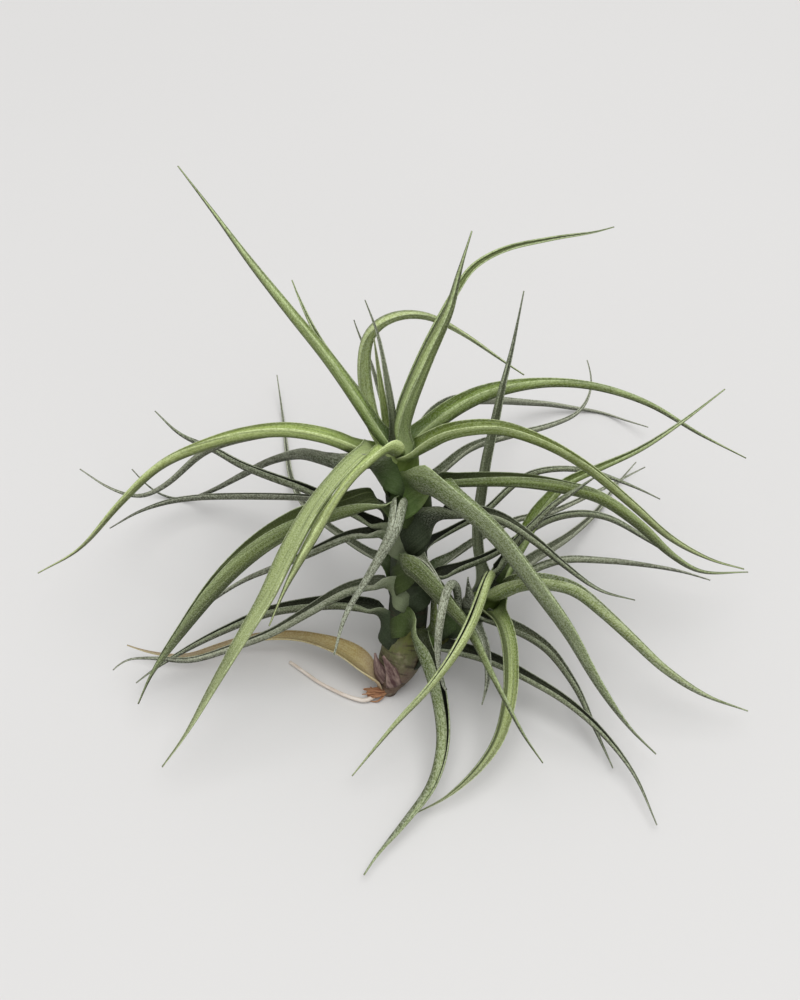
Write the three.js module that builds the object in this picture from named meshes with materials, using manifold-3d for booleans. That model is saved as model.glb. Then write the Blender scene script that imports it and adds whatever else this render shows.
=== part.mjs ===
// A Tillandsia bergeri clump, resting on a surface: a leafy main stem that leans back on its own leaves,
// with one offset growing from its right side. Millimetres, +Z up, +Y away from the viewer, and the origin at
// the stem's foot.
import * as THREE from "three";
import { mergeVertices } from "three/addons/utils/BufferGeometryUtils.js";
import Module from "manifold-3d";

const wasm = await Module();
wasm.setup();

// Driving dimensions, in millimetres and degrees.
const CLEARANCE = 0.3;
const BLADE_THICKNESS = 0.95;
const MARGIN_THICKNESS = 0.62;
const TIP_WIDTH = 0.8;
const CHANNEL_DEPTH = 0.24;
const RING_SPACING = 7;
const FEWEST_RINGS = 6;
const STEM_SIDES = 10;
const STEM_RINGS_PER_PLACE = 3;

// A leaf's channel faces the stem's tip at its root: how far along the blade the way out of the stem is read,
// and how far up the stem its own direction.
const ROOT_SHARE = 0.12;
const STEM_SHARE = 0.7;

// The plant's places are read as a viewer sees them: across and down the view, which is 800 x 1000 units,
// and up from the surface in millimetres. A line of sight through the first two meets the third once.
const VIEW_CENTRE = { across: 400, down: 500 };
const VIEW_UNIT = 0.26;
const VIEW_DISTANCE = 420;
const VIEW_ELEVATION = THREE.MathUtils.degToRad(50);
const VIEW_TARGET_HEIGHT = 30;
const FOOT = [388, 690, 0];

// Surface colours, roughness 0.6 to 0.9.
const MATERIALS = {
  fresh: { color: 0x93ab5f, roughness: 0.62 },
  green: { color: 0x7d9460, roughness: 0.7 },
  grey: { color: 0x83897a, roughness: 0.8 },
  dark: { color: 0x5f6b4b, roughness: 0.75 },
  dying: { color: 0xb3a45c, roughness: 0.75 },
  stem: { color: 0x8b8a5d, roughness: 0.7 },
  dry: { color: 0x7c5a55, roughness: 0.9 },
  root: { color: 0xb59a78, roughness: 0.9 },
};

// Stems: a centreline of [across, down, height] places, and the radius at each.
const STEMS = {
  main_stem: {
    path: [FOOT, [389, 685, 1.8], [393, 676, 4.2], [399, 662, 7.5], [406, 630, 15], [409, 590, 25],
      [408, 545, 36], [404, 500, 47], [400, 465, 56], [399, 452, 60]],
    radii: [2.3, 2.8, 4.1, 5.4, 5.9, 5.5, 5.3, 5.1, 4.6, 2.4],
  },
  offset_stem: {
    path: [[414, 650, 10], [440, 634, 13.5], [465, 614, 17], [486, 596, 21.5], [495, 583, 25]],
    radii: [3.2, 3.4, 3.6, 3.4, 1.8],
  },
};

// Leaves of the main stem, the youngest and foremost first. Each path runs from the stem to the tip, and
// the widths are evenly spaced along it.
const MAIN_LEAVES = {
  leaf_front_left_wide: {
    tone: "fresh", widths: [3.8, 3.9, 4.7, 3.6, 2.1, 0.4],
    path: [[386, 460, 58.5], [373, 447, 65.5], [358, 455, 66.5], [343, 469, 65], [312, 508, 58.5],
      [287, 552, 50.5], [265, 598, 42], [238, 643, 33], [212, 688, 24], [185, 735, 15], [162, 767, 8]],
  },
  leaf_front_left_pale: {
    tone: "fresh", widths: [4.4, 3.2, 2.3, 2.8, 1.6, 0.4],
    path: [[399, 461, 60], [397, 450, 65.5], [386, 446, 68.5], [367, 461, 68.5], [352, 476, 66.5],
      [328, 510, 61], [305, 550, 53.5], [285, 588, 45], [269, 626, 37]],
  },
  leaf_right_arch: {
    tone: "fresh", widths: [4.8, 4, 2.8, 2.4, 1.6, 0.4],
    path: [[408, 463, 59], [414, 452, 64], [440, 434, 69], [470, 427, 71.5], [500, 427, 71.5],
      [545, 442, 68], [585, 465, 62], [630, 502, 50], [670, 537, 39], [710, 559, 29], [744, 569, 22]],
  },
  leaf_upright: {
    tone: "green", widths: [4.2, 4.2, 3.8, 3, 1.6, 0.35],
    path: [[402, 456, 59], [402, 430, 67], [408, 405, 73.5], [428, 355, 85.5], [440, 330, 91],
      [450, 308, 95.5], [460, 270, 102], [472, 231, 108]],
  },
  leaf_long_left: {
    tone: "green", widths: [4, 3.6, 3, 2.2, 1.1, 0.3],
    path: [[391, 455, 57], [383, 438, 64], [365, 410, 71], [330, 360, 81], [290, 311, 90],
      [250, 261, 97], [215, 214, 102], [178, 166, 106]],
  },
  leaf_left_arch: {
    tone: "fresh", widths: [4.2, 4, 3.3, 2.3, 1.4, 0.3],
    path: [[394, 462, 55], [378, 457, 57], [362, 450, 60.5], [345, 442, 64], [325, 435, 67],
      [285, 429, 68], [240, 434, 65], [200, 446, 60], [160, 465, 53], [120, 503, 42], [80, 548, 31],
      [38, 573, 22]],
  },
  leaf_behind_upright: {
    tone: "green", widths: [2.9, 2.7, 2.1, 1.6, 1.1, 0.3],
    path: [[399, 450, 56], [400, 415, 63], [410, 385, 71], [425, 350, 80], [440, 320, 87],
      [455, 293, 92.5], [472, 268, 95.5], [500, 251, 97], [550, 239, 93], [595, 232, 86],
      [614, 227, 83]],
  },
  leaf_centre_dark: {
    tone: "dark", widths: [2.4, 2.3, 2, 1.4, 0.8, 0.3],
    path: [[396, 448, 57.5], [391, 405, 71], [387, 380, 78], [378, 335, 90], [365, 300, 98]],
  },
  leaf_centre_young: {
    tone: "fresh", widths: [2.8, 2.6, 2.2, 1.7, 1.1, 0.4],
    path: [[391, 448, 54], [387, 425, 60.5], [383, 400, 68.5], [374, 338, 85]],
  },
  leaf_loop: {
    tone: "fresh", widths: [3.9, 3.7, 3, 2, 1.1, 0.3],
    path: [[390, 450, 56], [376, 430, 60], [368, 400, 66], [364, 365, 75], [368, 338, 82],
      [380, 323, 86], [400, 315, 87], [430, 317, 84], [465, 335, 79], [500, 359, 73], [524, 375, 68]],
  },
  leaf_beside_long_left: {
    tone: "green", widths: [2.8, 2.6, 2.2, 1.7, 1.1, 0.3],
    path: [[394, 458, 55], [380, 427, 56], [369, 408, 60.5], [345, 375, 70], [320, 340, 76],
      [300, 300, 80], [292, 280, 82]],
  },
  leaf_behind_loop: {
    tone: "grey", widths: [2, 2, 1.7, 1.3, 0.8, 0.3],
    path: [[398, 464, 54], [391, 432, 53], [382, 400, 57.5], [370, 360, 67], [358, 332, 73],
      [354, 320, 76]],
  },
  leaf_far_right_arch: {
    tone: "green", widths: [5.2, 4.7, 2.7, 2, 1.2, 0.3],
    path: [[405, 454, 56], [418, 436, 61], [440, 416, 66], [470, 398, 69], [500, 388, 69.5],
      [550, 382, 67], [600, 387, 62], [650, 404, 55], [700, 434, 46], [746, 458, 38]],
  },
  leaf_back_right: {
    tone: "grey", widths: [3.4, 3.4, 3, 2.4, 1.5, 0.3],
    path: [[402, 472, 52], [416, 438, 50], [434, 412, 48], [452, 401, 44], [475, 399, 32],
      [500, 400, 18], [525, 402, 9], [550, 404, 4.5], [575, 408, 2], [600, 412, 0.55], [625, 420, 2],
      [648, 427, 5]],
  },
  leaf_under_left_arch: {
    tone: "grey", widths: [3, 2.8, 2.4, 1.9, 1.2, 0.3],
    path: [[394, 462, 52], [370, 452, 56.5], [330, 438, 61], [290, 431, 62], [245, 437, 59],
      [205, 451, 54], [165, 485, 45], [140, 496, 41], [110, 488, 40], [80, 469, 41]],
  },
  leaf_left_grey: {
    tone: "grey", widths: [5, 3.5, 2.3, 1.9, 1.2, 0.3],
    path: [[402, 480, 52], [390, 469, 58], [370, 464, 61], [345, 463, 59], [320, 457, 53],
      [300, 454, 46], [270, 461, 34], [240, 476, 20], [215, 489, 9], [195, 497, 3], [178, 499, 0.55],
      [160, 494, 1.5], [145, 483, 4.5], [132, 469, 8]],
  },
  leaf_front_right_wide: {
    tone: "green", widths: [7.5, 5.3, 4.5, 3.9, 2.3, 0.4],
    path: [[400, 498, 49], [410, 484, 56], [428, 480, 59.5], [445, 490, 60.5], [460, 502, 59],
      [480, 518, 56], [500, 538, 52], [540, 590, 40.5], [570, 632, 31], [600, 685, 21], [630, 728, 13],
      [656, 754, 9]],
  },
  leaf_right_channelled: {
    tone: "green", widths: [3.8, 3.8, 3.5, 2.7, 1.4, 0.3],
    path: [[404, 498, 45], [440, 482, 52], [480, 479, 55], [520, 480, 54], [560, 486, 50],
      [600, 497, 46], [640, 525, 38], [670, 553, 30], [700, 571, 22], [748, 572, 14]],
  },
  leaf_right_curled: {
    tone: "grey", widths: [2.9, 2.7, 2.2, 1.7, 1.1, 0.3],
    path: [[406, 500, 44], [440, 470, 47], [470, 447, 45], [510, 435, 40], [550, 425, 36],
      [578, 412, 33], [590, 392, 32], [591, 375, 33.5], [587, 360, 36]],
  },
  leaf_front_silver: {
    tone: "grey", widths: [4.2, 4.1, 2.9, 2, 1.4, 0.7],
    path: [[404, 500, 48], [399, 503, 53.5], [397, 515, 54.5], [394, 530, 51.5], [386, 546, 46.5],
      [377, 562, 41.5], [360, 590, 33.5], [345, 616, 27], [334, 655, 19]],
  },
  leaf_left_wide: {
    tone: "green", widths: [6.4, 6.2, 5.9, 4.8, 2.6, 0.4],
    path: [[404, 514, 44], [390, 505, 50.5], [370, 501, 53], [350, 503, 53.5], [325, 511, 52],
      [300, 519, 49], [260, 543, 42.5], [220, 580, 33.5], [180, 632, 22.5], [152, 673, 14.5],
      [138, 704, 9]],
  },
  leaf_left_low: {
    tone: "grey", widths: [2.8, 2.4, 2.1, 2.1, 1.6, 0.3],
    path: [[400, 512, 43], [370, 503, 42], [335, 500, 33], [300, 497, 21], [265, 496, 12.5],
      [230, 496, 8.5], [200, 497, 8], [170, 501, 9.5], [140, 511, 13], [110, 528, 18]],
  },
  leaf_left_dark: {
    tone: "dark", widths: [3, 2.8, 2.5, 2.1, 1.4, 0.3],
    path: [[404, 534, 37], [385, 528, 40], [350, 510, 43], [310, 490, 44], [270, 476, 43],
      [240, 464, 42], [215, 450, 41], [180, 434, 40], [155, 411, 40]],
  },
  leaf_right_grey: {
    tone: "dark", widths: [4, 3.7, 2.8, 2, 1.2, 0.3],
    path: [[408, 538, 38], [420, 523, 43.5], [440, 514, 46], [470, 511, 47], [500, 517, 46],
      [535, 540, 42], [565, 565, 34.5], [600, 590, 27], [635, 600, 22]],
  },
  leaf_right_thin_dark: {
    tone: "dark", widths: [2.4, 2, 1.9, 1.7, 1.2, 0.3],
    path: [[410, 552, 30], [450, 530, 31], [485, 511, 33], [505, 492, 36], [525, 476, 38],
      [550, 469, 40], [590, 471, 37], [635, 487, 31], [660, 499, 27]],
  },
  leaf_left_thin: {
    tone: "grey", widths: [3.2, 2.8, 2.2, 1.6, 1, 0.3],
    path: [[406, 548, 35], [390, 540, 39], [372, 533, 39.5], [350, 535, 37.5], [305, 555, 31],
      [280, 565, 27], [240, 582, 20], [203, 608, 13], [187, 628, 9]],
  },
  leaf_back_left: {
    tone: "grey", widths: [2.6, 2.4, 2.1, 1.8, 1.2, 0.3],
    path: [[406, 566, 27], [385, 560, 29], [365, 550, 26], [345, 537, 20], [325, 523, 13.5],
      [305, 505, 7.5], [292, 480, 3.4], [288, 460, 2], [285, 435, 1], [282, 410, 2], [277, 375, 6]],
  },
  leaf_front_lower: {
    tone: "green", widths: [5, 5, 2.9, 1.7, 1, 0.3],
    path: [[404, 574, 30], [396, 563, 36.5], [413, 566, 38.5], [430, 582, 37], [445, 600, 34.5],
      [470, 630, 30], [490, 670, 25], [512, 713, 20], [525, 737, 17], [543, 763, 13]],
  },
  leaf_beside_front_lower: {
    tone: "grey", widths: [1.6, 1.6, 1.4, 1.2, 0.8, 0.3],
    path: [[412, 560, 34], [420, 556, 41], [431, 567, 41.5], [438, 578, 40.5], [444, 591, 39]],
  },
  leaf_right_faint: {
    tone: "grey", widths: [2.4, 2.2, 1.9, 1.6, 1.1, 0.3],
    path: [[412, 580, 26], [445, 560, 28.5], [480, 537, 25], [520, 518, 23], [545, 514, 22.5],
      [585, 497, 21], [645, 467, 18]],
  },
  leaf_right_long_dark: {
    tone: "dark", widths: [3, 2.4, 2.1, 2, 1.4, 0.3],
    path: [[412, 590, 24], [445, 572, 30.5], [470, 563, 32], [490, 555, 32], [510, 543, 30.5],
      [530, 530, 30], [550, 519, 30.5], [580, 513, 31], [610, 518, 30], [650, 541, 26], [690, 567, 20]],
  },
  leaf_left_lower_grey: {
    tone: "grey", widths: [3.8, 3.5, 2.6, 2.1, 1.5, 0.3],
    path: [[410, 602, 21], [403, 590, 27], [392, 584, 28.5], [372, 583, 28.5], [345, 590, 26.5],
      [310, 610, 22.5], [270, 633, 18.5], [230, 648, 15], [190, 660, 13], [155, 658, 12],
      [125, 660, 11.5], [113, 670, 11]],
  },
  leaf_front_bottom: {
    tone: "green", widths: [4.6, 4.5, 3.7, 2.7, 1.7, 0.4],
    path: [[404, 618, 18], [399, 610, 24], [415, 630, 22.5], [432, 668, 17.5], [441, 705, 13.5],
      [443, 745, 10], [432, 785, 7], [405, 822, 4.5], [375, 858, 3], [364, 875, 2.6]],
  },
  leaf_left_lower_dark: {
    tone: "dark", widths: [4.2, 4.1, 3.3, 2.4, 1.5, 0.3],
    path: [[408, 642, 10], [392, 624, 15.5], [375, 609, 18.5], [345, 602, 19.5], [310, 604, 17.5],
      [270, 611, 15], [230, 627, 12], [190, 647, 9], [150, 672, 6.5], [136, 683, 5]],
  },
  leaf_right_edge_dark: {
    tone: "dark", widths: [3.8, 3.6, 2.8, 2.1, 1.2, 0.3],
    path: [[408, 652, 9], [430, 646, 12.5], [450, 647, 14.5], [490, 658, 15], [530, 678, 13],
      [570, 703, 11], [605, 735, 8.5], [635, 775, 5], [657, 825, 2.6]],
  },
  leaf_dying: {
    tone: "dying", widths: [2.2, 5, 4.2, 3.1, 2.6, 2.3, 2, 1.7, 1.3, 0.9, 0.3],
    path: [[388, 688, 3], [378, 680, 5.5], [365, 663, 8.5], [348, 650, 9.5], [320, 640, 9],
      [290, 635, 7], [250, 638, 5.5], [220, 646, 4.5], [185, 656, 3.6], [145, 651, 4], [127, 645, 5]],
  },
};

// Leaves of the offset, in the same form.
const OFFSET_LEAVES = {
  offset_leaf_folded: {
    tone: "fresh", widths: [2.4, 2.6, 3, 2, 1.3, 0.3],
    path: [[476, 606, 21], [483, 590, 30.5], [491, 574, 37.5], [487, 580, 40], [478, 605, 38],
      [470, 625, 35.5], [450, 660, 30], [425, 692, 23], [395, 724, 15], [352, 776, 6]],
  },
  offset_leaf_hooked: {
    tone: "grey", widths: [2, 2, 2.3, 2.2, 1.7, 1],
    path: [[458, 614, 20], [458, 598, 31], [456, 586, 37], [452, 582, 39.5], [446, 593, 40.5],
      [441, 615, 38], [438, 640, 31.5], [438, 660, 25.5], [442, 683, 20.5], [446, 690, 19]],
  },
  offset_leaf_small: {
    tone: "grey", widths: [3.6, 3.4, 3, 2.4, 1.5, 0.4],
    path: [[468, 608, 22], [470, 598, 31.5], [468, 585, 37], [468, 577, 39.5]],
  },
  offset_leaf_front_wide: {
    tone: "fresh", widths: [4.6, 4.3, 4.1, 3.2, 1.8, 0.4],
    path: [[484, 611, 19], [493, 609, 25], [503, 620, 27.5], [509, 640, 26], [511, 665, 21],
      [510, 695, 16], [499, 738, 10.5], [478, 769, 7], [445, 798, 4], [416, 813, 2.6]],
  },
  offset_leaf_right_arch: {
    tone: "fresh", widths: [4.6, 4.4, 3.4, 2.7, 1.8, 0.3],
    path: [[489, 603, 21], [499, 593, 28.5], [515, 584, 33.5], [535, 581, 35.5], [555, 583, 35],
      [575, 589, 33.5], [605, 613, 29], [635, 641, 23], [665, 669, 17.5], [705, 695, 11.5],
      [748, 711, 8]],
  },
  offset_leaf_long_right: {
    tone: "green", widths: [4.5, 4.1, 2.9, 1.9, 1.2, 0.35],
    path: [[494, 592, 22], [510, 560, 30], [525, 535, 34], [535, 515, 37], [550, 497, 40],
      [565, 483, 43], [600, 467, 49], [640, 449, 55], [680, 423, 61], [725, 389, 67]],
  },
  offset_leaf_channelled: {
    tone: "dark", widths: [2.8, 2.6, 2.3, 2, 1.4, 0.4],
    path: [[492, 588, 24], [505, 557, 33], [520, 538, 38.5], [540, 518, 44], [555, 503, 47.5],
      [570, 494, 50.5], [583, 485, 52.5], [598, 475, 55]],
  },
  offset_leaf_upright: {
    tone: "dark", widths: [3, 3, 2.8, 2.3, 1.3, 0.3],
    path: [[488, 596, 19], [481, 565, 24], [478, 545, 29], [478, 520, 36], [482, 490, 45.5],
      [487, 458, 54.5], [494, 427, 62.5], [502, 390, 74], [512, 350, 84], [524, 291, 97]],
  },
  offset_leaf_right_thin: {
    tone: "grey", widths: [2.4, 2.3, 2, 1.6, 1, 0.3],
    path: [[497, 600, 18], [510, 583, 24], [523, 574, 28], [560, 560, 31], [600, 560, 28.5],
      [640, 564, 24], [680, 571, 18], [710, 580, 13]],
  },
  offset_leaf_back_right: {
    tone: "grey", widths: [3.8, 3.6, 3, 2.2, 1.4, 0.3],
    path: [[482, 606, 16], [506, 580, 17], [530, 560, 14.5], [550, 548, 11], [570, 535, 6.5],
      [597, 511, 2.4], [613, 489, 1.2], [636, 462, 4]],
  },
  offset_leaf_front_dark: {
    tone: "dark", widths: [3.4, 3.5, 2.9, 2.1, 1.3, 0.3],
    path: [[464, 618, 16], [477, 616, 21.5], [492, 618, 23], [510, 625, 22], [530, 635, 17],
      [550, 650, 13.5], [577, 688, 8], [595, 728, 4.5], [613, 768, 2.6]],
  },
  offset_leaf_front_small: {
    tone: "grey", widths: [2.2, 2.2, 2.1, 2, 1.4, 0.4],
    path: [[474, 618, 19], [479, 628, 23.5], [484, 638, 24], [487, 652, 21], [488, 680, 14.5],
      [482, 705, 9]],
  },
  offset_leaf_low_upright: {
    tone: "green", widths: [2.2, 2.1, 2, 1.8, 1.5, 1],
    path: [[434, 634, 17], [434, 620, 21], [434, 600, 25], [434, 588, 28]],
  },
};

// Dry remains and roots at the foot: closed strands and scales with a path and a radius or widths.
const DRY_SCALES = {
  dry_scale_left: {
    tone: "dry", widths: [3, 3.6, 3.2, 1.6],
    path: [[387, 684, 4.5], [379, 671, 8.5], [375, 653, 13.5]],
  },
  dry_scale_front: {
    tone: "dry", widths: [3, 3.8, 3.4, 1.8],
    path: [[398, 685, 5.5], [392, 673, 10.5], [383, 656, 15.5]],
  },
};

const ROOTS = {
  root_fibres: {
    path: [[388, 690, 1.2], [377, 693, 2.2], [368, 694, 1.4]],
    radii: [1, 1.2, 0.8],
  },
  root_pale: {
    path: [[376, 695, 1.4], [366, 700, 1], [350, 697, 0.9], [322, 684, 0.7], [290, 662, 0.7]],
    radii: [0.7, 0.6, 0.5, 0.45, 0.45],
  },
};

// The place where a line of sight meets a given height, before the foot is made the origin.
function sightPoint([across, down, height]) {
  const right = (across - VIEW_CENTRE.across) * VIEW_UNIT;
  const up = (VIEW_CENTRE.down - down) * VIEW_UNIT;
  const sine = Math.sin(VIEW_ELEVATION);
  const cosine = Math.cos(VIEW_ELEVATION);
  const eye = new THREE.Vector3(0, -VIEW_DISTANCE * cosine, VIEW_TARGET_HEIGHT + VIEW_DISTANCE * sine);
  const ahead = up * sine + VIEW_DISTANCE * cosine;
  const sight = new THREE.Vector3(right, ahead, up * cosine - VIEW_DISTANCE * sine);
  return eye.addScaledVector(sight, (height - eye.z) / sight.z);
}

const foot = sightPoint(FOOT);

function place(seen) {
  return sightPoint(seen).sub(foot);
}

function curveThrough(path) {
  return new THREE.CatmullRomCurve3(path.map(place), false, "centripetal");
}

// A closed solid from rings of points, each ring counter-clockwise seen from the far end. The outline is the
// flat shape of its end rings.
function loft(rings, outline) {
  const sides = rings[0].length;
  const points = rings.flat();
  const faces = [];
  for (let ring = 0; ring + 1 < rings.length; ring += 1) {
    for (let side = 0; side < sides; side += 1) {
      const a = ring * sides + side;
      const b = ring * sides + ((side + 1) % sides);
      faces.push(a, b, b + sides, a, b + sides, a + sides);
    }
  }
  const last = (rings.length - 1) * sides;
  const fan = THREE.ShapeUtils.triangulateShape(outline, []);
  for (const [a, b, c] of fan) {
    faces.push(a, c, b);
    faces.push(last + a, last + b, last + c);
  }
  const geometry = new THREE.BufferGeometry().setFromPoints(points);
  geometry.setIndex(faces);
  return geometry;
}

// A stem or root: round rings along its centreline. The first ring lies flat when it starts on the surface.
function strand({ path, radii }, grow = 0) {
  const curve = curveThrough(path);
  const steps = (path.length - 1) * STEM_RINGS_PER_PLACE;
  const outline = [];
  for (let side = 0; side < STEM_SIDES; side += 1) {
    const angle = (side / STEM_SIDES) * 2 * Math.PI;
    outline.push(new THREE.Vector2(Math.cos(angle), Math.sin(angle)));
  }
  const rings = [];
  for (let step = 0; step <= steps; step += 1) {
    const along = step / steps;
    const centre = curve.getPoint(along);
    const flat = step === 0 && path[0] === FOOT;
    const tangent = flat ? new THREE.Vector3(0, 0, 1) : curve.getTangent(along);
    const across = new THREE.Vector3(0, -1, 0).cross(tangent).normalize();
    const upward = tangent.clone().cross(across);
    const reach = along * (path.length - 1);
    const knot = Math.min(Math.floor(reach), path.length - 2);
    const radius = THREE.MathUtils.lerp(radii[knot], radii[knot + 1], reach - knot) + grow;
    rings.push(outline.map(({ x, y }) => centre.clone()
      .addScaledVector(across, x * radius)
      .addScaledVector(upward, y * radius)));
  }
  return loft(rings, outline);
}

// Blade width along the leaf: a smooth curve through the listed widths, evenly spaced from root to tip.
function bladeWidth(widths, along) {
  const reach = along * (widths.length - 1);
  const knot = Math.min(Math.floor(reach), widths.length - 2);
  const [before, start, end, after] = [-1, 0, 1, 2].map((step) => (
    widths[THREE.MathUtils.clamp(knot + step, 0, widths.length - 1)]
  ));
  const share = reach - knot;
  const leaving = (end - before) / 2;
  const arriving = (after - start) / 2;
  const square = share * share;
  const bend = 3 * (end - start) - 2 * leaving - arriving;
  const twist = 2 * (start - end) + leaving + arriving;
  return Math.max(start + leaving * share + bend * square + twist * square * share, TIP_WIDTH);
}

// The channelled section of a blade: the upper side left to right, then the keel side back.
function bladeSection(width, grow) {
  const half = width / 2;
  const rise = CHANNEL_DEPTH * width;
  const keel = BLADE_THICKNESS / 2 + grow;
  const margin = MARGIN_THICKNESS / 2 + grow;
  const reach = half + grow;
  return [
    new THREE.Vector2(reach, rise + margin),
    new THREE.Vector2(0, keel),
    new THREE.Vector2(-reach, rise + margin),
    new THREE.Vector2(-reach, rise - margin),
    new THREE.Vector2(0, -keel),
    new THREE.Vector2(reach, rise - margin),
  ];
}

// Which way an end ring moves along its leaf when the leaf is grown: the first back, the last on.
function endShift(step, steps) {
  if (step === 0) {
    return -1;
  }
  return step === steps ? 1 : 0;
}

// A leaf: its channel faces the stem's tip at the root, and is carried along the blade without twisting.
function leaf({ path, widths }, stemCurve, grow = 0) {
  const curve = curveThrough(path);
  const rings = [];
  const steps = Math.max(FEWEST_RINGS - 1, Math.round(curve.getLength() / RING_SPACING));
  const outward = curve.getPointAt(ROOT_SHARE).sub(curve.getPointAt(0)).normalize();
  let facing = stemCurve.getTangent(STEM_SHARE).sub(outward).normalize();
  for (let step = 0; step <= steps; step += 1) {
    const along = step / steps;
    const tangent = curve.getTangentAt(along);
    facing = facing.clone().addScaledVector(tangent, -facing.dot(tangent)).normalize();
    const across = facing.clone().cross(tangent);
    const centre = curve.getPointAt(along).addScaledVector(tangent, endShift(step, steps) * grow);
    rings.push(bladeSection(bladeWidth(widths, along), grow).map(({ x, y }) => centre.clone()
      .addScaledVector(across, x)
      .addScaledVector(facing, y)));
  }
  return loft(rings, bladeSection(widths[0], grow));
}

function toSolid(geometry) {
  const merged = mergeVertices(geometry);
  return new wasm.Manifold(new wasm.Mesh({
    numProp: 3,
    vertProperties: new Float32Array(merged.attributes.position.array),
    triVerts: new Uint32Array(merged.index.array),
  }));
}

function toGeometry(solid) {
  const { vertProperties, triVerts } = solid.getMesh();
  const geometry = new THREE.BufferGeometry();
  geometry.setAttribute("position", new THREE.BufferAttribute(vertProperties, 3));
  geometry.setIndex(new THREE.BufferAttribute(triVerts, 1));
  return geometry;
}

function boxesMeet(one, other) {
  const a = one.boundingBox();
  const b = other.boundingBox();
  return [0, 1, 2].every((axis) => a.min[axis] < b.max[axis] && b.min[axis] < a.max[axis]);
}

// Each piece gives way to those placed before it: what would touch them is cut back by the clearance, and
// the largest body that is left is the piece.
const placed = [];

function giveWay(solid) {
  let rest = solid;
  for (const earlier of placed) {
    if (boxesMeet(rest, earlier)) {
      rest = rest.subtract(earlier);
    }
  }
  const bodies = rest.decompose();
  bodies.sort((a, b) => b.volume() - a.volume());
  return bodies[0];
}

const plant = new THREE.Group();

function addPiece(name, tone, exact, grown) {
  const solid = giveWay(toSolid(exact));
  placed.push(toSolid(grown));
  const material = new THREE.MeshStandardMaterial({ metalness: 0, ...MATERIALS[tone] });
  const mesh = new THREE.Mesh(toGeometry(solid), material);
  mesh.name = name;
  plant.add(mesh);
}

for (const [name, stem] of Object.entries(STEMS)) {
  addPiece(name, "stem", strand(stem), strand(stem, CLEARANCE));
}

const mainCurve = curveThrough(STEMS.main_stem.path);
const offsetCurve = curveThrough(STEMS.offset_stem.path);

function addLeaves(table, stemCurve) {
  for (const [name, shape] of Object.entries(table)) {
    addPiece(name, shape.tone, leaf(shape, stemCurve), leaf(shape, stemCurve, CLEARANCE));
  }
}

addLeaves(MAIN_LEAVES, mainCurve);
addLeaves(OFFSET_LEAVES, offsetCurve);
addLeaves(DRY_SCALES, mainCurve);

for (const [name, root] of Object.entries(ROOTS)) {
  addPiece(name, "root", strand(root), strand(root, CLEARANCE));
}

export default plant;
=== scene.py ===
"""The looks of a Tillandsia bergeri clump: channelled leaves whose sheaths wrap two stems, dry scales and
roots, on a plain pale floor. The plant's lengths are in millimetres until its meshes are made, in metres."""

import math

import bpy
import numpy as np
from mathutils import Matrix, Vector


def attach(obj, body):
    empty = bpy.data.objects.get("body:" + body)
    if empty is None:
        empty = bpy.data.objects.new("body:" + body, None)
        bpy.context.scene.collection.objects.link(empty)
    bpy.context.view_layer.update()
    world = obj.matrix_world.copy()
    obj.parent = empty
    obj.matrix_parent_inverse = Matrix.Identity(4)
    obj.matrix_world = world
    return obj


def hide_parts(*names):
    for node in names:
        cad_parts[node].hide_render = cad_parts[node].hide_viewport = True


MM = 0.001

# The plant's places are read as a viewer sees them: across and down the view, which is 800 x 1000 units,
# and up from the surface in millimetres. A line of sight through the first two meets the third once.
VIEW_ACROSS = 400
VIEW_DOWN = 500
VIEW_LONG_SIDE = 1000
VIEW_UNIT = 0.26
VIEW_DISTANCE = 420
VIEW_ELEVATION = math.radians(50)
VIEW_TARGET_HEIGHT = 30
FOOT = [388, 690, 0]

# The viewer's right, the way up the view, the way to the viewer, and the eye before the foot is the origin.
VIEW_RIGHT = np.array([1, 0, 0])
VIEW_UP = np.array([0, math.sin(VIEW_ELEVATION), math.cos(VIEW_ELEVATION)])
FRONT = np.array([0, -math.cos(VIEW_ELEVATION), math.sin(VIEW_ELEVATION)])
EYE = np.array([0, 0, VIEW_TARGET_HEIGHT]) + VIEW_DISTANCE * FRONT

# How fine the meshes are: samples between two given places of a path, the way between two rings of a leaf,
# where its points are from the midrib at 0 to the margin at 1, and the steps that its section is summed in.
SPAN_SAMPLES = 24
RING_SPACING = 1.1
HALF_SIDES = np.array([0, 0.08, 0.22, 0.42, 0.66, 0.88, 1])
SECTION_STEPS = 200

# The points from one margin to the other, and those of a whole ring: how far across the blade each is, and
# whether it is on the upper face at 1, on the lower one at 0 or on the rounded margin between them.
SIDES = np.concatenate([HALF_SIDES[::-1], -HALF_SIDES[1:]])
RING_SIDES = np.concatenate([SIDES, [-1], SIDES[::-1], [1]])
RING_FACE = np.concatenate([np.ones(len(SIDES)), [0.5], np.zeros(len(SIDES)), [0.5]])

# Sheaths: their length and samples, how far up the stem the lowest one starts and the lowest leaf bends off,
# how deep their foot is in the stem and for what share of their length, how far each millimetre up and each
# leaf before it, of LAYERS, take a sheath off the stem, and its width against the blade's root and limits.
SHEATH_LENGTH = 8
SHEATH_SAMPLES = 16
LOWEST_SHEATH = 0.8
LOWEST_BEND = 3
ROOTING = 0.8
ROOTED_SHARE = 0.4
FLARE = 0.1
LAYER = 0.09
LAYERS = 6
SHEATH_SPREAD = 2.2
SHEATH_WIDTHS = [5, 11.5]

# A dry scale has next to no sheath, and its root bends from side to side by these radians to a millimetre.
DRY_SHEATH = 0.01
DRY_BEND = 0.25

# From sheath to blade: how far off the stem a blade is clear of it, how strongly the leaf rises out of its
# sheath, how many samples the curve between them has, and the run along which the whole line is softened.
LIFT = 0.6
RISE = 0.6
BRIDGE_SAMPLES = 12
SOFTENED_RUN = 2.2

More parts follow.
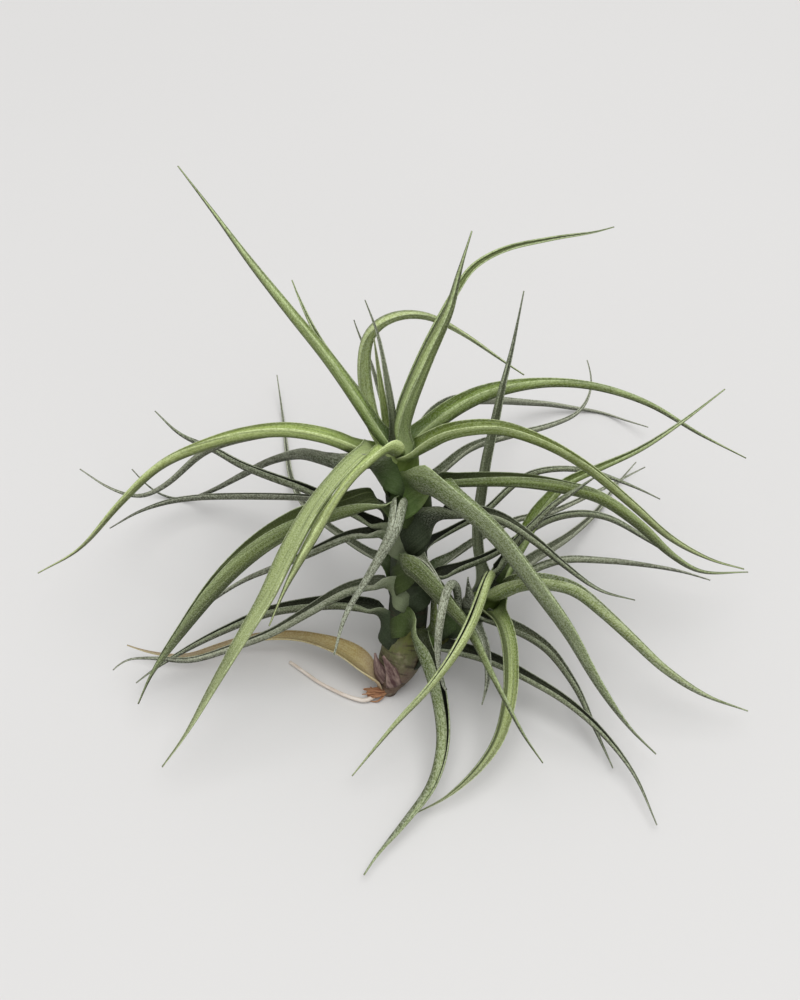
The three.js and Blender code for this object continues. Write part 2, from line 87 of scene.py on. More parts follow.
# How far below the sheath's end a leaf starts to turn to the sky and to have the blade's shape. Channels
# face up and a little to the back, where the stem leans, but not those of blades that grow nearly that way.
TURN_START = 3
BLADE_START = 2
SKYWARD = np.array([0.0, 0.3, 0.95])
NEARLY_SKYWARD = 0.4

# Blades: their thickness at the midrib, the share of it at the margins, how much thinner the tip is and
# from what share of the length, their least width, the least share of it between the rounded margins, and
# the least spread in the view that a half width of 1 is taken to have.
BLADE_THICKNESS = 0.6
MARGIN_SHARE = 0.65
TIP_THINNING = 0.6
TIP_START = 0.75
LEAST_WIDTH = 0.12
LEAST_FLAT_SHARE = 0.5
LEAST_SPREAD = 0.7

# A channel is a V with a round foot. Between the first two curls of its halves, in radians, it becomes a
# round tube, and between the other two it closes and is dark inside.
V_ROUNDNESS = 0.6
TUBE_CURL = [2, 2.6]
CLOSING_CURL = [1.9, 2.5]

# How far apart two leaves are in the grain of their skin, so that no two have the same.
GRAIN_STEP = 7.3

# A stem is bare of sheaths up to a height, and its skin is thinner above that, below its sheaths.
STEMS = {
    "main_stem": {
        "path": [FOOT, [389, 685, 1.8], [393, 676, 4.2], [399, 662, 7.5], [406, 630, 15], [409, 590, 25],
            [408, 545, 36], [404, 500, 47], [400, 465, 56], [399, 452, 60]],
        "radii": [2.3, 2.8, 4.1, 5.4, 5.9, 5.5, 5.3, 5.1, 4.6, 2.4],
        "bare": 12, "depth": 0.7, "skin": {"seed": 9, "lumps": 0.02, "sides": 28, "spacing": 1},
    },
    "offset_stem": {
        "path": [[414, 650, 10], [440, 634, 13.5], [465, 614, 17], [486, 596, 21.5], [495, 583, 25]],
        "radii": [3.2, 3.4, 3.6, 3.4, 1.8],
        "bare": 2, "depth": 0.5, "skin": {"seed": 11, "lumps": 0.02, "sides": 28, "spacing": 1},
    },
}

# What a leaf may say of itself beside its tone, how wide the viewer sees it at even steps from root to tip,
# and the places of its line, with the values of a leaf that says nothing else.
ORDINARY_LEAF = {
    # Degrees at even steps from root to tip: how far its halves curl up beside the midrib, and its roll.
    "curl": [80, 90, 100, 100, 90],
    "roll": [0, 0],
    # The share of the way that its channel turns to the sky, and how far above the sheath it has done so.
    "turn": 1,
    "turn_run": 7,
    # How wide it has stayed, where it has shrunk with age.
    "shrunk": 1,
    # Its sheath's length, the degrees round the stem from the sheath's end to its foot, how much the sheath
    # is on the viewer's side of the stem.
    "sheath": SHEATH_LENGTH,
    "sweep": 0,
    "front": 0,
    # From where its line is clear of the stem, how far below that it bends off and how far above that it
    # has joined its line. How far above the sheath it has the blade's shape.
    "drop": 1,
    "bend": 3.5,
    "clasp": 10,
    # How much painted shade its channel, its underside and one of its sides have, with the sign of that
    # side. How silvery it is. How much lighter it is at even steps from root to tip, and darker where less
    # than 0, partly its own tone and partly painted light and shade.
    "dim": 0.45,
    "under": 0,
    "shaded": 0,
    "silver": 0,
    "light": [0, 0],
}
OPEN_CURL = [60, 60, 70, 70, 60]


def leaf(tone, widths, path, **own):
    """An ordinary leaf but for what is its own. Its base is the width of its sheath."""
    base = np.clip(SHEATH_SPREAD * widths[0], *SHEATH_WIDTHS)
    return ORDINARY_LEAF | {"tone": tone, "widths": widths, "path": path, "base": base} | own


MAIN_LEAVES = {
    "front_left_wide": leaf("fresh", [3.8, 3.9, 4.7, 3.6, 2.1, 0.4],
        [[386, 460, 58.5], [373, 447, 65.5], [358, 455, 66.5], [343, 469, 65], [312, 508, 58.5],
        [287, 552, 50.5], [265, 598, 42], [238, 643, 33], [212, 688, 24], [185, 735, 15], [162, 767, 8]],
        curl=[60, 50, 50, 55, 60], roll=[0, 10, 10, 10, 0], sheath=4, sweep=40, base=5, clasp=6, dim=0,
        shaded=-0.45, silver=0.2, light=[0.7, 0.4, 0.15]),
    "front_left_pale": leaf("fresh", [4.4, 3.2, 2.3, 2.8, 1.6, 0.4],
        [[399, 461, 60], [397, 450, 65.5], [386, 446, 68.5], [367, 461, 68.5], [352, 476, 66.5],
        [328, 510, 61], [305, 550, 53.5], [285, 588, 45], [269, 626, 37]],
        curl=[60, 60, 80, 80, 60], turn=0.6, sheath=1.2, sweep=30, front=0.8, base=3.5, clasp=8, dim=0.1,
        light=[0.3, 0.45, 0.3]),
    "right_arch": leaf("fresh", [4.8, 4, 2.8, 2.4, 1.6, 0.4],
        [[408, 463, 59], [414, 452, 64], [440, 434, 69], [470, 427, 71.5], [500, 427, 71.5], [545, 442, 68],
        [585, 465, 62], [630, 502, 50], [670, 537, 39], [710, 559, 29], [744, 569, 22]],
        sheath=6, sweep=-50, front=0.5, base=7, bend=5, clasp=12, dim=0.4, under=0.45,
        light=[-0.35, -0.2, 0]),
    "upright": leaf("green", [4.2, 4.2, 3.8, 3, 1.6, 0.35],
        [[402, 456, 59], [402, 430, 67], [408, 405, 73.5], [428, 355, 85.5], [440, 330, 91],
        [450, 308, 95.5], [460, 270, 102], [472, 231, 108]],
        curl=OPEN_CURL, roll=[180, 180], turn=0, sheath=2, base=5, dim=0, shaded=-0.45,
        light=[0.6, 0.55, 0, -0.2]),
    "long_left": leaf("green", [4, 3.6, 3, 2.2, 1.1, 0.3],
        [[391, 455, 57], [383, 438, 64], [365, 410, 71], [330, 360, 81], [290, 311, 90], [250, 261, 97],
        [215, 214, 102], [178, 166, 106]],
        curl=[60, 70, 80, 80, 70], base=8, dim=0, light=[0, 0.35, 0.2]),
    "left_arch": leaf("fresh", [4.2, 4, 3.3, 2.3, 1.4, 0.3],
        [[394, 462, 55], [378, 457, 57], [362, 450, 60.5], [345, 442, 64], [325, 435, 67], [285, 429, 68],
        [240, 434, 65], [200, 446, 60], [160, 465, 53], [120, 503, 42], [80, 548, 31], [38, 573, 22]],
        curl=[60, 75, 85, 85, 75], dim=0.05, light=[0.3, 0.15, 0.05]),
    "behind_upright": leaf("green", [2.9, 2.7, 2.1, 1.6, 1.1, 0.3],
        [[399, 450, 56], [400, 415, 63], [410, 385, 71], [425, 350, 80], [440, 320, 87], [455, 293, 92.5],
        [472, 268, 95.5], [500, 251, 97], [550, 239, 93], [595, 232, 86], [614, 227, 83]]),
    "centre_dark": leaf("dark", [2.4, 2.3, 2, 1.4, 0.8, 0.3],
        [[396, 448, 57.5], [391, 405, 71], [387, 380, 78], [378, 335, 90], [365, 300, 98]],
        curl=OPEN_CURL, dim=0, light=[0.9, 0.5, 0]),
    "centre_young": leaf("fresh", [2.8, 2.6, 2.2, 1.7, 1.1, 0.4],
        [[391, 448, 54], [387, 425, 60.5], [383, 400, 68.5], [374, 338, 85]],
        curl=OPEN_CURL, dim=0, light=[0.4, 0.45, 0.2]),
    "loop": leaf("fresh", [3.9, 3.7, 3, 2, 1.1, 0.3],
        [[390, 450, 56], [376, 430, 60], [368, 400, 66], [364, 365, 75], [368, 338, 82], [380, 323, 86],
        [400, 315, 87], [430, 317, 84], [465, 335, 79], [500, 359, 73], [524, 375, 68]],
        curl=OPEN_CURL, dim=0, silver=0.35, light=[0.5, 0.5, 0.5, 0.3]),
    "beside_long_left": leaf("green", [2.8, 2.6, 2.2, 1.7, 1.1, 0.3],
        [[394, 458, 55], [380, 427, 56], [369, 408, 60.5], [345, 375, 70], [320, 340, 76], [300, 300, 80],
        [292, 280, 82]]),
    "behind_loop": leaf("grey", [2, 2, 1.7, 1.3, 0.8, 0.3],
        [[398, 464, 54], [391, 432, 53], [382, 400, 57.5], [370, 360, 67], [358, 332, 73], [354, 320, 76]],
        curl=OPEN_CURL),
    "far_right_arch": leaf("green", [5.2, 4.7, 2.7, 2, 1.2, 0.3],
        [[405, 454, 56], [418, 436, 61], [440, 416, 66], [470, 398, 69], [500, 388, 69.5], [550, 382, 67],
        [600, 387, 62], [650, 404, 55], [700, 434, 46], [746, 458, 38]],
        base=9, dim=0, light=[-0.15, 0, -0.1]),
    "back_right": leaf("grey", [3.4, 3.4, 3, 2.4, 1.5, 0.3],
        [[402, 472, 52], [416, 438, 50], [434, 412, 48], [452, 401, 44], [475, 399, 32], [500, 400, 18],
        [525, 402, 9], [550, 404, 4.5], [575, 408, 2], [600, 412, 0.55], [625, 420, 2], [648, 427, 5]]),
    "under_left_arch": leaf("grey", [3, 2.8, 2.4, 1.9, 1.2, 0.3],
        [[394, 462, 52], [370, 452, 56.5], [330, 438, 61], [290, 431, 62], [245, 437, 59], [205, 451, 54],
        [165, 485, 45], [140, 496, 41], [110, 488, 40], [80, 469, 41]]),
    "left_grey": leaf("grey", [5, 3.5, 2.3, 1.9, 1.2, 0.3],
        [[402, 480, 52], [390, 469, 58], [370, 464, 61], [345, 463, 59], [320, 457, 53], [300, 454, 46],
        [270, 461, 34], [240, 476, 20], [215, 489, 9], [195, 497, 3], [178, 499, 0.55], [160, 494, 1.5],
        [145, 483, 4.5], [132, 469, 8]],
        turn=0.7, sheath=5, sweep=80, front=0.5, base=9, bend=8, clasp=14, dim=0.3, under=0.6,
        light=[0, -0.3, -0.2]),
    "front_right_wide": leaf("green", [7.5, 5.3, 4.5, 3.9, 2.3, 0.4],
        [[400, 498, 49], [410, 484, 56], [428, 480, 59.5], [445, 490, 60.5], [460, 502, 59], [480, 518, 56],
        [500, 538, 52], [540, 590, 40.5], [570, 632, 31], [600, 685, 21], [630, 728, 13], [656, 754, 9]],
        curl=[80, 70, 65, 65, 60], turn=0.6, sheath=4, sweep=-75, front=0.9, base=11, drop=2, bend=9,
        dim=0, under=0.7, silver=0.3, light=[0, 0.75, 0.5]),
    "right_channelled": leaf("green", [3.8, 3.8, 3.5, 2.7, 1.4, 0.3],
        [[404, 498, 45], [440, 482, 52], [480, 479, 55], [520, 480, 54], [560, 486, 50], [600, 497, 46],
        [640, 525, 38], [670, 553, 30], [700, 571, 22], [748, 572, 14]],
        roll=[0, -18, -15, -10], sheath=4, sweep=-50, front=0.3, base=9, dim=1.2, light=[-0.6, -0.2, 0]),
    "right_curled": leaf("grey", [2.9, 2.7, 2.2, 1.7, 1.1, 0.3],
        [[406, 500, 44], [440, 470, 47], [470, 447, 45], [510, 435, 40], [550, 425, 36], [578, 412, 33],
        [590, 392, 32], [591, 375, 33.5], [587, 360, 36]]),
    "front_silver": leaf("grey", [4.2, 4.1, 2.9, 2, 1.4, 0.7],
        [[404, 500, 48], [399, 503, 53.5], [397, 515, 54.5], [394, 530, 51.5], [386, 546, 46.5],
        [377, 562, 41.5], [360, 590, 33.5], [345, 616, 27], [334, 655, 19]],
        curl=[75, 160, 174, 175, 175, 175, 172, 165, 150], sheath=3, base=4.5, drop=2.5, clasp=3, dim=1.5,
        silver=0.6),
    "left_wide": leaf("green", [6.4, 6.2, 5.9, 4.8, 2.6, 0.4],
        [[404, 514, 44], [390, 505, 50.5], [370, 501, 53], [350, 503, 53.5], [325, 511, 52], [300, 519, 49],
        [260, 543, 42.5], [220, 580, 33.5], [180, 632, 22.5], [152, 673, 14.5], [138, 704, 9]],
        roll=[0, 9, 9, 3], sheath=4, sweep=60, front=0.4, base=7, bend=8, clasp=14, dim=0.95, under=0.3,
        light=[-0.5, -0.4, -0.55]),
    "left_low": leaf("grey", [2.8, 2.4, 2.1, 2.1, 1.6, 0.3],
        [[400, 512, 43], [370, 503, 42], [335, 500, 33], [300, 497, 21], [265, 496, 12.5], [230, 496, 8.5],
        [200, 497, 8], [170, 501, 9.5], [140, 511, 13], [110, 528, 18]],
        curl=[95, 100, 105, 90], sheath=4, sweep=50, front=0.3, base=6, dim=1.2, light=[-0.7, -0.6]),
    "left_dark": leaf("dark", [3, 2.8, 2.5, 2.1, 1.4, 0.3],
        [[404, 534, 37], [385, 528, 40], [350, 510, 43], [310, 490, 44], [270, 476, 43], [240, 464, 42],
        [215, 450, 41], [180, 434, 40], [155, 411, 40]],
        curl=[95, 100, 125, 135, 105], sheath=3.5, sweep=70, front=0.9, base=8, bend=6, dim=1.4,
        light=[0.45, -0.2, -0.3, -0.2]),
    "right_grey": leaf("dark", [4, 3.7, 2.8, 2, 1.2, 0.3],
        [[408, 538, 38], [420, 523, 43.5], [440, 514, 46], [470, 511, 47], [500, 517, 46], [535, 540, 42],
        [565, 565, 34.5], [600, 590, 27], [635, 600, 22]],
        turn_run=12, sheath=5, sweep=-70, front=0.9, base=9, bend=8, clasp=12, dim=1, light=[-0.3, 0, 0]),
    "right_thin_dark": leaf("dark", [2.4, 2, 1.9, 1.7, 1.2, 0.3],
        [[410, 552, 30], [450, 530, 31], [485, 511, 33], [505, 492, 36], [525, 476, 38], [550, 469, 40],
        [590, 471, 37], [635, 487, 31], [660, 499, 27]],
        curl=[70, 120, 130, 100], dim=1.4),
    "left_thin": leaf("grey", [3.2, 2.8, 2.2, 1.6, 1, 0.3],
        [[406, 548, 35], [390, 540, 39], [372, 533, 39.5], [350, 535, 37.5], [305, 555, 31], [280, 565, 27],
        [240, 582, 20], [203, 608, 13], [187, 628, 9]],
        curl=[95, 95, 115, 125, 105], sheath=3.5, sweep=100, front=0.4, base=6, bend=5, dim=1.3,
        light=[0.2, 0, 0]),
    "back_left": leaf("grey", [2.6, 2.4, 2.1, 1.8, 1.2, 0.3],
        [[406, 566, 27], [385, 560, 29], [365, 550, 26], [345, 537, 20], [325, 523, 13.5], [305, 505, 7.5],
        [292, 480, 3.4], [288, 460, 2], [285, 435, 1], [282, 410, 2], [277, 375, 6]]),
    "front_lower": leaf("green", [5, 5, 2.9, 1.7, 1, 0.3],
        [[404, 574, 30], [396, 563, 36.5], [413, 566, 38.5], [430, 582, 37], [445, 600, 34.5],
        [470, 630, 30], [490, 670, 25], [512, 713, 20], [525, 737, 17], [543, 763, 13]],
        curl=[75, 65, 75, 70], turn=0.6, sheath=4, sweep=-65, front=0.8, base=10, drop=2, bend=5, clasp=7,
        dim=0.6, under=0.4, light=[-0.7, -0.5, -0.1, 0]),
    "beside_front_lower": leaf("grey", [1.6, 1.6, 1.4, 1.2, 0.8, 0.3],
        [[412, 560, 34], [420, 556, 41], [431, 567, 41.5], [438, 578, 40.5], [444, 591, 39]]),
    "right_faint": leaf("grey", [2.4, 2.2, 1.9, 1.6, 1.1, 0.3],
        [[412, 580, 26], [445, 560, 28.5], [480, 537, 25], [520, 518, 23], [545, 514, 22.5], [585, 497, 21],
        [645, 467, 18]]),
    "right_long_dark": leaf("dark", [3, 2.4, 2.1, 2, 1.4, 0.3],
        [[412, 590, 24], [445, 572, 30.5], [470, 563, 32], [490, 555, 32], [510, 543, 30.5], [530, 530, 30],
        [550, 519, 30.5], [580, 513, 31], [610, 518, 30], [650, 541, 26], [690, 567, 20]],
        curl=[95, 110, 130, 100], sheath=4, sweep=-80, front=0.9, base=8.5, bend=8, clasp=12, dim=1.4),
    "left_lower_grey": leaf("grey", [3.8, 3.5, 2.6, 2.1, 1.5, 0.3],
        [[410, 602, 21], [403, 590, 27], [392, 584, 28.5], [372, 583, 28.5], [345, 590, 26.5],
        [310, 610, 22.5], [270, 633, 18.5], [230, 648, 15], [190, 660, 13], [155, 658, 12],
        [125, 660, 11.5], [113, 670, 11]],
        curl=[95, 95, 105, 110, 90], sheath=3, sweep=70, front=0.9, base=8.5, bend=6, dim=0.9,
        light=[0.3, 0, 0]),
    "front_bottom": leaf("green", [4.6, 4.5, 3.7, 2.7, 1.7, 0.4],
        [[404, 618, 18], [399, 610, 24], [415, 630, 22.5], [432, 668, 17.5], [441, 705, 13.5],
        [443, 745, 10], [432, 785, 7], [405, 822, 4.5], [375, 858, 3], [364, 875, 2.6]],
        curl=[90, 125, 155, 163, 163, 150], turn=0.8, sheath=4, sweep=-75, front=1, base=8, bend=6, dim=1.3,
        silver=0.3, light=[-0.6, -0.35, -0.2]),
    "left_lower_dark": leaf("dark", [4.2, 4.1, 3.3, 2.4, 1.5, 0.3],
        [[408, 642, 10], [392, 624, 15.5], [375, 609, 18.5], [345, 602, 19.5], [310, 604, 17.5],
        [270, 611, 15], [230, 627, 12], [190, 647, 9], [150, 672, 6.5], [136, 683, 5]],
        curl=[95, 95, 105, 105, 85], sheath=3.5, sweep=70, front=0.4, base=8, bend=4, dim=1.3),
    "right_edge_dark": leaf("dark", [3.8, 3.6, 2.8, 2.1, 1.2, 0.3],
        [[408, 652, 9], [430, 646, 12.5], [450, 647, 14.5], [490, 658, 15], [530, 678, 13], [570, 703, 11],
        [605, 735, 8.5], [635, 775, 5], [657, 825, 2.6]],
        sheath=5, base=6, dim=1.3),
    "dying": leaf("dying", [2.2, 5, 4.2, 3.1, 2.6, 2.3, 2, 1.7, 1.3, 0.9, 0.3],
        [[388, 688, 3], [378, 680, 5.5], [365, 663, 8.5], [348, 650, 9.5], [320, 640, 9], [290, 635, 7],
        [250, 638, 5.5], [220, 646, 4.5], [185, 656, 3.6], [145, 651, 4], [127, 645, 5]],
        curl=[50, 45, 50, 50], sheath=2, base=2.5, clasp=2),
}

OFFSET_LEAVES = {
    "folded": leaf("fresh", [2.4, 2.6, 3, 2, 1.3, 0.3],
        [[476, 606, 21], [483, 590, 30.5], [491, 574, 37.5], [487, 580, 40], [478, 605, 38],
        [470, 625, 35.5], [450, 660, 30], [425, 692, 23], [395, 724, 15], [352, 776, 6]],
        curl=[120, 157, 158, 158, 158, 140], clasp=3, dim=1.1, silver=0.2, light=[0.1, 0.25, -0.1, -0.4]),
    "hooked": leaf("grey", [2, 2, 2.3, 2.2, 1.7, 1],
        [[458, 614, 20], [458, 598, 31], [456, 586, 37], [452, 582, 39.5], [446, 593, 40.5], [441, 615, 38],
        [438, 640, 31.5], [438, 660, 25.5], [442, 683, 20.5], [446, 690, 19]],
        curl=[110, 160, 170, 160], clasp=3, silver=0.4),
    "small": leaf("grey", [3.6, 3.4, 3, 2.4, 1.5, 0.4],
        [[468, 608, 22], [470, 598, 31.5], [468, 585, 37], [468, 577, 39.5]],
        silver=0.3),
    "front_wide": leaf("fresh", [4.6, 4.3, 4.1, 3.2, 1.8, 0.4],
        [[484, 611, 19], [493, 609, 25], [503, 620, 27.5], [509, 640, 26], [511, 665, 21], [510, 695, 16],
        [499, 738, 10.5], [478, 769, 7], [445, 798, 4], [416, 813, 2.6]],
        curl=OPEN_CURL, dim=0.2, shaded=-1.2, silver=0.2, light=[-0.2, 0, 0]),
    "right_arch": leaf("fresh", [4.6, 4.4, 3.4, 2.7, 1.8, 0.3],
        [[489, 603, 21], [499, 593, 28.5], [515, 584, 33.5], [535, 581, 35.5], [555, 583, 35],
        [575, 589, 33.5], [605, 613, 29], [635, 641, 23], [665, 669, 17.5], [705, 695, 11.5],
        [748, 711, 8]],
        dim=0.9, silver=0.4, light=[-0.35, -0.25, -0.3]),
    "long_right": leaf("green", [4.5, 4.1, 2.9, 1.9, 1.2, 0.35],
        [[494, 592, 22], [510, 560, 30], [525, 535, 34], [535, 515, 37], [550, 497, 40], [565, 483, 43],
        [600, 467, 49], [640, 449, 55], [680, 423, 61], [725, 389, 67]],
        dim=0.1),
    "channelled": leaf("dark", [2.8, 2.6, 2.3, 2, 1.4, 0.4],
        [[492, 588, 24], [505, 557, 33], [520, 538, 38.5], [540, 518, 44], [555, 503, 47.5],
        [570, 494, 50.5], [583, 485, 52.5], [598, 475, 55]],
        curl=[80, 120, 140, 120], dim=1.4),
    "upright": leaf("dark", [3, 3, 2.8, 2.3, 1.3, 0.3],
        [[488, 596, 19], [481, 565, 24], [478, 545, 29], [478, 520, 36], [482, 490, 45.5], [487, 458, 54.5],
        [494, 427, 62.5], [502, 390, 74], [512, 350, 84], [524, 291, 97]],
        dim=0, light=[1, 0.7, 0.1]),
    "right_thin": leaf("grey", [2.4, 2.3, 2, 1.6, 1, 0.3],
        [[497, 600, 18], [510, 583, 24], [523, 574, 28], [560, 560, 31], [600, 560, 28.5], [640, 564, 24],
        [680, 571, 18], [710, 580, 13]]),
    "back_right": leaf("grey", [3.8, 3.6, 3, 2.2, 1.4, 0.3],
        [[482, 606, 16], [506, 580, 17], [530, 560, 14.5], [550, 548, 11], [570, 535, 6.5], [597, 511, 2.4],
        [613, 489, 1.2], [636, 462, 4]]),
    "front_dark": leaf("dark", [3.4, 3.5, 2.9, 2.1, 1.3, 0.3],
        [[464, 618, 16], [477, 616, 21.5], [492, 618, 23], [510, 625, 22], [530, 635, 17], [550, 650, 13.5],
        [577, 688, 8], [595, 728, 4.5], [613, 768, 2.6]]),
    "front_small": leaf("grey", [2.2, 2.2, 2.1, 2, 1.4, 0.4],
        [[474, 618, 19], [479, 628, 23.5], [484, 638, 24], [487, 652, 21], [488, 680, 14.5], [482, 705, 9]],
        silver=0.3),
    "low_upright": leaf("green", [2.2, 2.1, 2, 1.8, 1.5, 1],
        [[434, 634, 17], [434, 620, 21], [434, 600, 25], [434, 588, 28]]),
}

DRY_SCALES = {
    "left": leaf("dry", [3, 3.6, 3.2, 1.6],
        [[387, 684, 4.5], [379, 671, 8.5], [375, 653, 13.5]],
        curl=[60, 60], shrunk=0.5),
    "front": leaf("dry", [3, 3.8, 3.4, 1.8],
        [[398, 685, 5.5], [392, 673, 10.5], [383, 656, 15.5]],
        curl=[60, 60], shrunk=0.55),
}

ROOTS = {
    "root_fibres": {
        "path": [[388, 690, 1.2], [377, 693, 2.2], [368, 694, 1.4]],
        "radii": [1, 1.2, 0.8],
        "skin": {"seed": 5, "lumps": 0.25, "sides": 12, "spacing": 0.4},
    },
    "root_pale": {
        "path": [[376, 695, 1.4], [366, 700, 1], [350, 697, 0.9], [322, 684, 0.7], [290, 662, 0.7]],
        "radii": [0.7, 0.6, 0.5, 0.45, 0.45],
        "skin": {"seed": 3, "lumps": 0.06, "sides": 10, "spacing": 0.6},
    },
}

# The wiry fibres of the root tuft: how many, how thick at the stem and, as a share of that, at the end, how
# far apart they end, how much of that they swing out on the way, and their skin.
FIBRES = 14
FIBRE_RADIUS = 0.3
FIBRE_END = 0.5
FIBRE_SPREAD = 1.5
FIBRE_SWING = 0.5
FIBRE_SKIN = {"lumps": 0.15, "sides": 8, "spacing": 0.5}


def sight_point(seen):
    """The place where a line of sight meets a given height, before the foot is made the origin."""
    across, down, height = seen
    right = (across - VIEW_ACROSS) * VIEW_UNIT
    up = (VIEW_DOWN - down) * VIEW_UNIT
    sight = right * VIEW_RIGHT + up * VIEW_UP - VIEW_DISTANCE * FRONT
    return EYE + sight * (height - EYE[2]) / sight[2]


def place(seen):
    return sight_point(seen) - sight_point(FOOT)


def smoothstep(low, high, value):
    share = np.clip((value - low) / (high - low), 0, 1)
    return share * share * (3 - 2 * share)


def unit(ways):
    return ways / np.linalg.norm(ways, axis=-1, keepdims=True)


def hermite(start, end, leaving, arriving, share):
    """The cubic between two places or values, with given slopes at both."""
    square, cube = share**2, share**3
    return (
        (2 * cube - 3 * square + 1) * start
        + (cube - 2 * square + share) * leaving
        + (3 * square - 2 * cube) * end
        + (cube - square) * arriving
    )


def smooth_path(seen_places):
    """A centripetal spline through places given as a viewer sees them, SPAN_SAMPLES samples to a span."""
    points = np.array([place(seen) for seen in seen_places])
    ends = np.vstack([2 * points[0] - points[1], points, 2 * points[-1] - points[-2]])
    share = np.arange(SPAN_SAMPLES)[:, None] / SPAN_SAMPLES
    samples = []
    for before, start, end, after in zip(ends, ends[1:], ends[2:], ends[3:]):
        steps = (start - before, end - start, after - end)
        d0, d1, d2 = (math.sqrt(np.linalg.norm(step)) for step in steps)
        leaving = ((start - before) / d0 - (end - before) / (d0 + d1) + (end - start) / d1) * d1
        arriving = ((end - start) / d1 - (after - start) / (d1 + d2) + (after - end) / d2) * d1
        samples.append(hermite(start, end, leaving, arriving, share))
    samples.append(points[-1:])
    return np.vstack(samples)


def sampled(values, path):
    """Values given at the places of a smooth path, for each of its samples."""
    return np.interp(np.arange(len(path)) / SPAN_SAMPLES, np.arange(len(values)), values)


def distances(path):
    """How far along the path each of its points is."""
    return np.concatenate([[0], np.cumsum(np.linalg.norm(np.diff(path, axis=0), axis=1))])


def at(path, along, wanted):
    """The places on a path at the wanted distances along it."""
    return np.stack([np.interp(wanted, along, path[:, axis]) for axis in range(3)], axis=-1)


def tangents(path):
    return unit(np.gradient(path, axis=0))


def carried(normal, tangent):
    """A normal carried along a path without twisting, one for each of its points."""
    normals = []
    for direction in tangent:
        normal = unit(normal - normal.dot(direction) * direction)
        normals.append(normal)
    return np.array(normals)


def softened(points, steps):
    """Points of a path, each the mean of those up to some steps before and after it, with the ends kept."""
    number = np.arange(len(points))
    reach = np.minimum(np.minimum(number, number[::-1]), steps)
    total = np.vstack([np.zeros(3), np.cumsum(points, axis=0)])
    return (total[number + reach + 1] - total[number - reach]) / (2 * reach + 1)[:, None]


def evenly(values, along):
    """A smooth curve through evenly spaced values, at shares of the way along from 0 to 1."""
    values = np.asarray(values, float)
    reach = np.asarray(along) * (len(values) - 1)
    knot = np.minimum(reach.astype(int), len(values) - 2)
    share = reach - knot
    last = len(values) - 1
    before, start, end, after = (values[np.clip(knot + step, 0, last)] for step in (-1, 0, 1, 2))
    return hermite(start, end, (end - before) / 2, (after - start) / 2, share)


def vectors(*parts):
    """Vectors of three parts, each given for every point, for each ring or for each point of a ring."""
    return np.stack(np.broadcast_arrays(*parts), axis=-1)


class Stem:
    """A stem's line, how far along it each sample is, its direction, its radius and its skin's radius."""

    def __init__(self, shape):
        self.path = smooth_path(shape["path"])
        self.along = distances(self.path)
        self.tangent = tangents(self.path)
        self.radius = sampled(shape["radii"], self.path)
        covered = smoothstep(shape["bare"], shape["bare"] + SHEATH_LENGTH, self.along)
        self.core = self.radius - shape["depth"] * covered


def sheath_line(shape, stem, top, outward, rank):
    """The line of a sheath up the stem's side and round it, the way out of the stem at its foot, and how
    strongly it bends round the stem from side to side."""
    bottom = max(top - shape["sheath"], LOWEST_SHEATH)
    run = np.linspace(bottom, top, SHEATH_SAMPLES)
    share = np.linspace(0, 1, SHEATH_SAMPLES)
    direction = unit(at(stem.tangent, stem.along, run))
    outward = unit(outward - (direction @ outward)[:, None] * direction)
    sweep = np.radians(shape["sweep"]) * share[::-1, None]
    outward = outward * np.cos(sweep) + np.cross(direction, outward) * np.sin(sweep)
    radius = np.interp(run, stem.along, stem.core) + LAYER * (rank % LAYERS) + FLARE * (run - bottom)
    radius = radius - ROOTING * (1 - smoothstep(0, ROOTED_SHARE, share))
    line = at(stem.path, stem.along, run) + outward * radius[:, None]
    lengthwise = np.sum(tangents(line) * direction, axis=1) ** 2
    return line, outward[0], lengthwise / radius


def leaf_line(shape, stem, rank):
    """A leaf's line up its sheath, off the stem and along the blade, how long the sheath is, the way that
    the leaf faces at its foot, and how strongly the sheath bends from side to side."""
    blade = smooth_path(shape["path"])
    away = np.linalg.norm(blade[:, None] - stem.path, axis=2)
    nearest = away.argmin(axis=1)
    if shape["tone"] == "dry":
        return blade, DRY_SHEATH, stem.path[nearest[0]] - blade[0], np.full(2, DRY_BEND)
    clear = int(np.argmax(away.min(axis=1) > stem.radius[nearest] + LIFT))
    beside = nearest[clear]
    outward = unit(blade[clear] - stem.path[beside]) + shape["front"] * FRONT
    top = max(stem.along[beside] - shape["drop"], LOWEST_BEND)
    sheath, foot_outward, sheath_bend = sheath_line(shape, stem, top, outward, rank)
    along = distances(blade)
    joined = int(np.searchsorted(along, along[clear] + shape["bend"]))
    span = np.linalg.norm(blade[joined] - sheath[-1])
    leaving = unit(sheath[-1] - sheath[-2]) * span * RISE
    arriving = unit(blade[joined + 1] - blade[joined - 1]) * span
    between = np.linspace(0, 1, BRIDGE_SAMPLES + 2)[1:-1, None]
    bridge = hermite(sheath[-1], blade[joined], leaving, arriving, between)
    return np.vstack([sheath, bridge, blade[joined:]]), distances(sheath)[-1], -foot_outward, sheath_bend


def turn_to_sky(facing, tangent):
    """How far a blade turns about its own line for its channel to face SKYWARD."""
    upward = SKYWARD - (SKYWARD @ tangent) * tangent
    if np.linalg.norm(upward) < NEARLY_SKYWARD:
        return 0.0
    return math.atan2(upward @ np.cross(tangent, facing), upward @ facing)


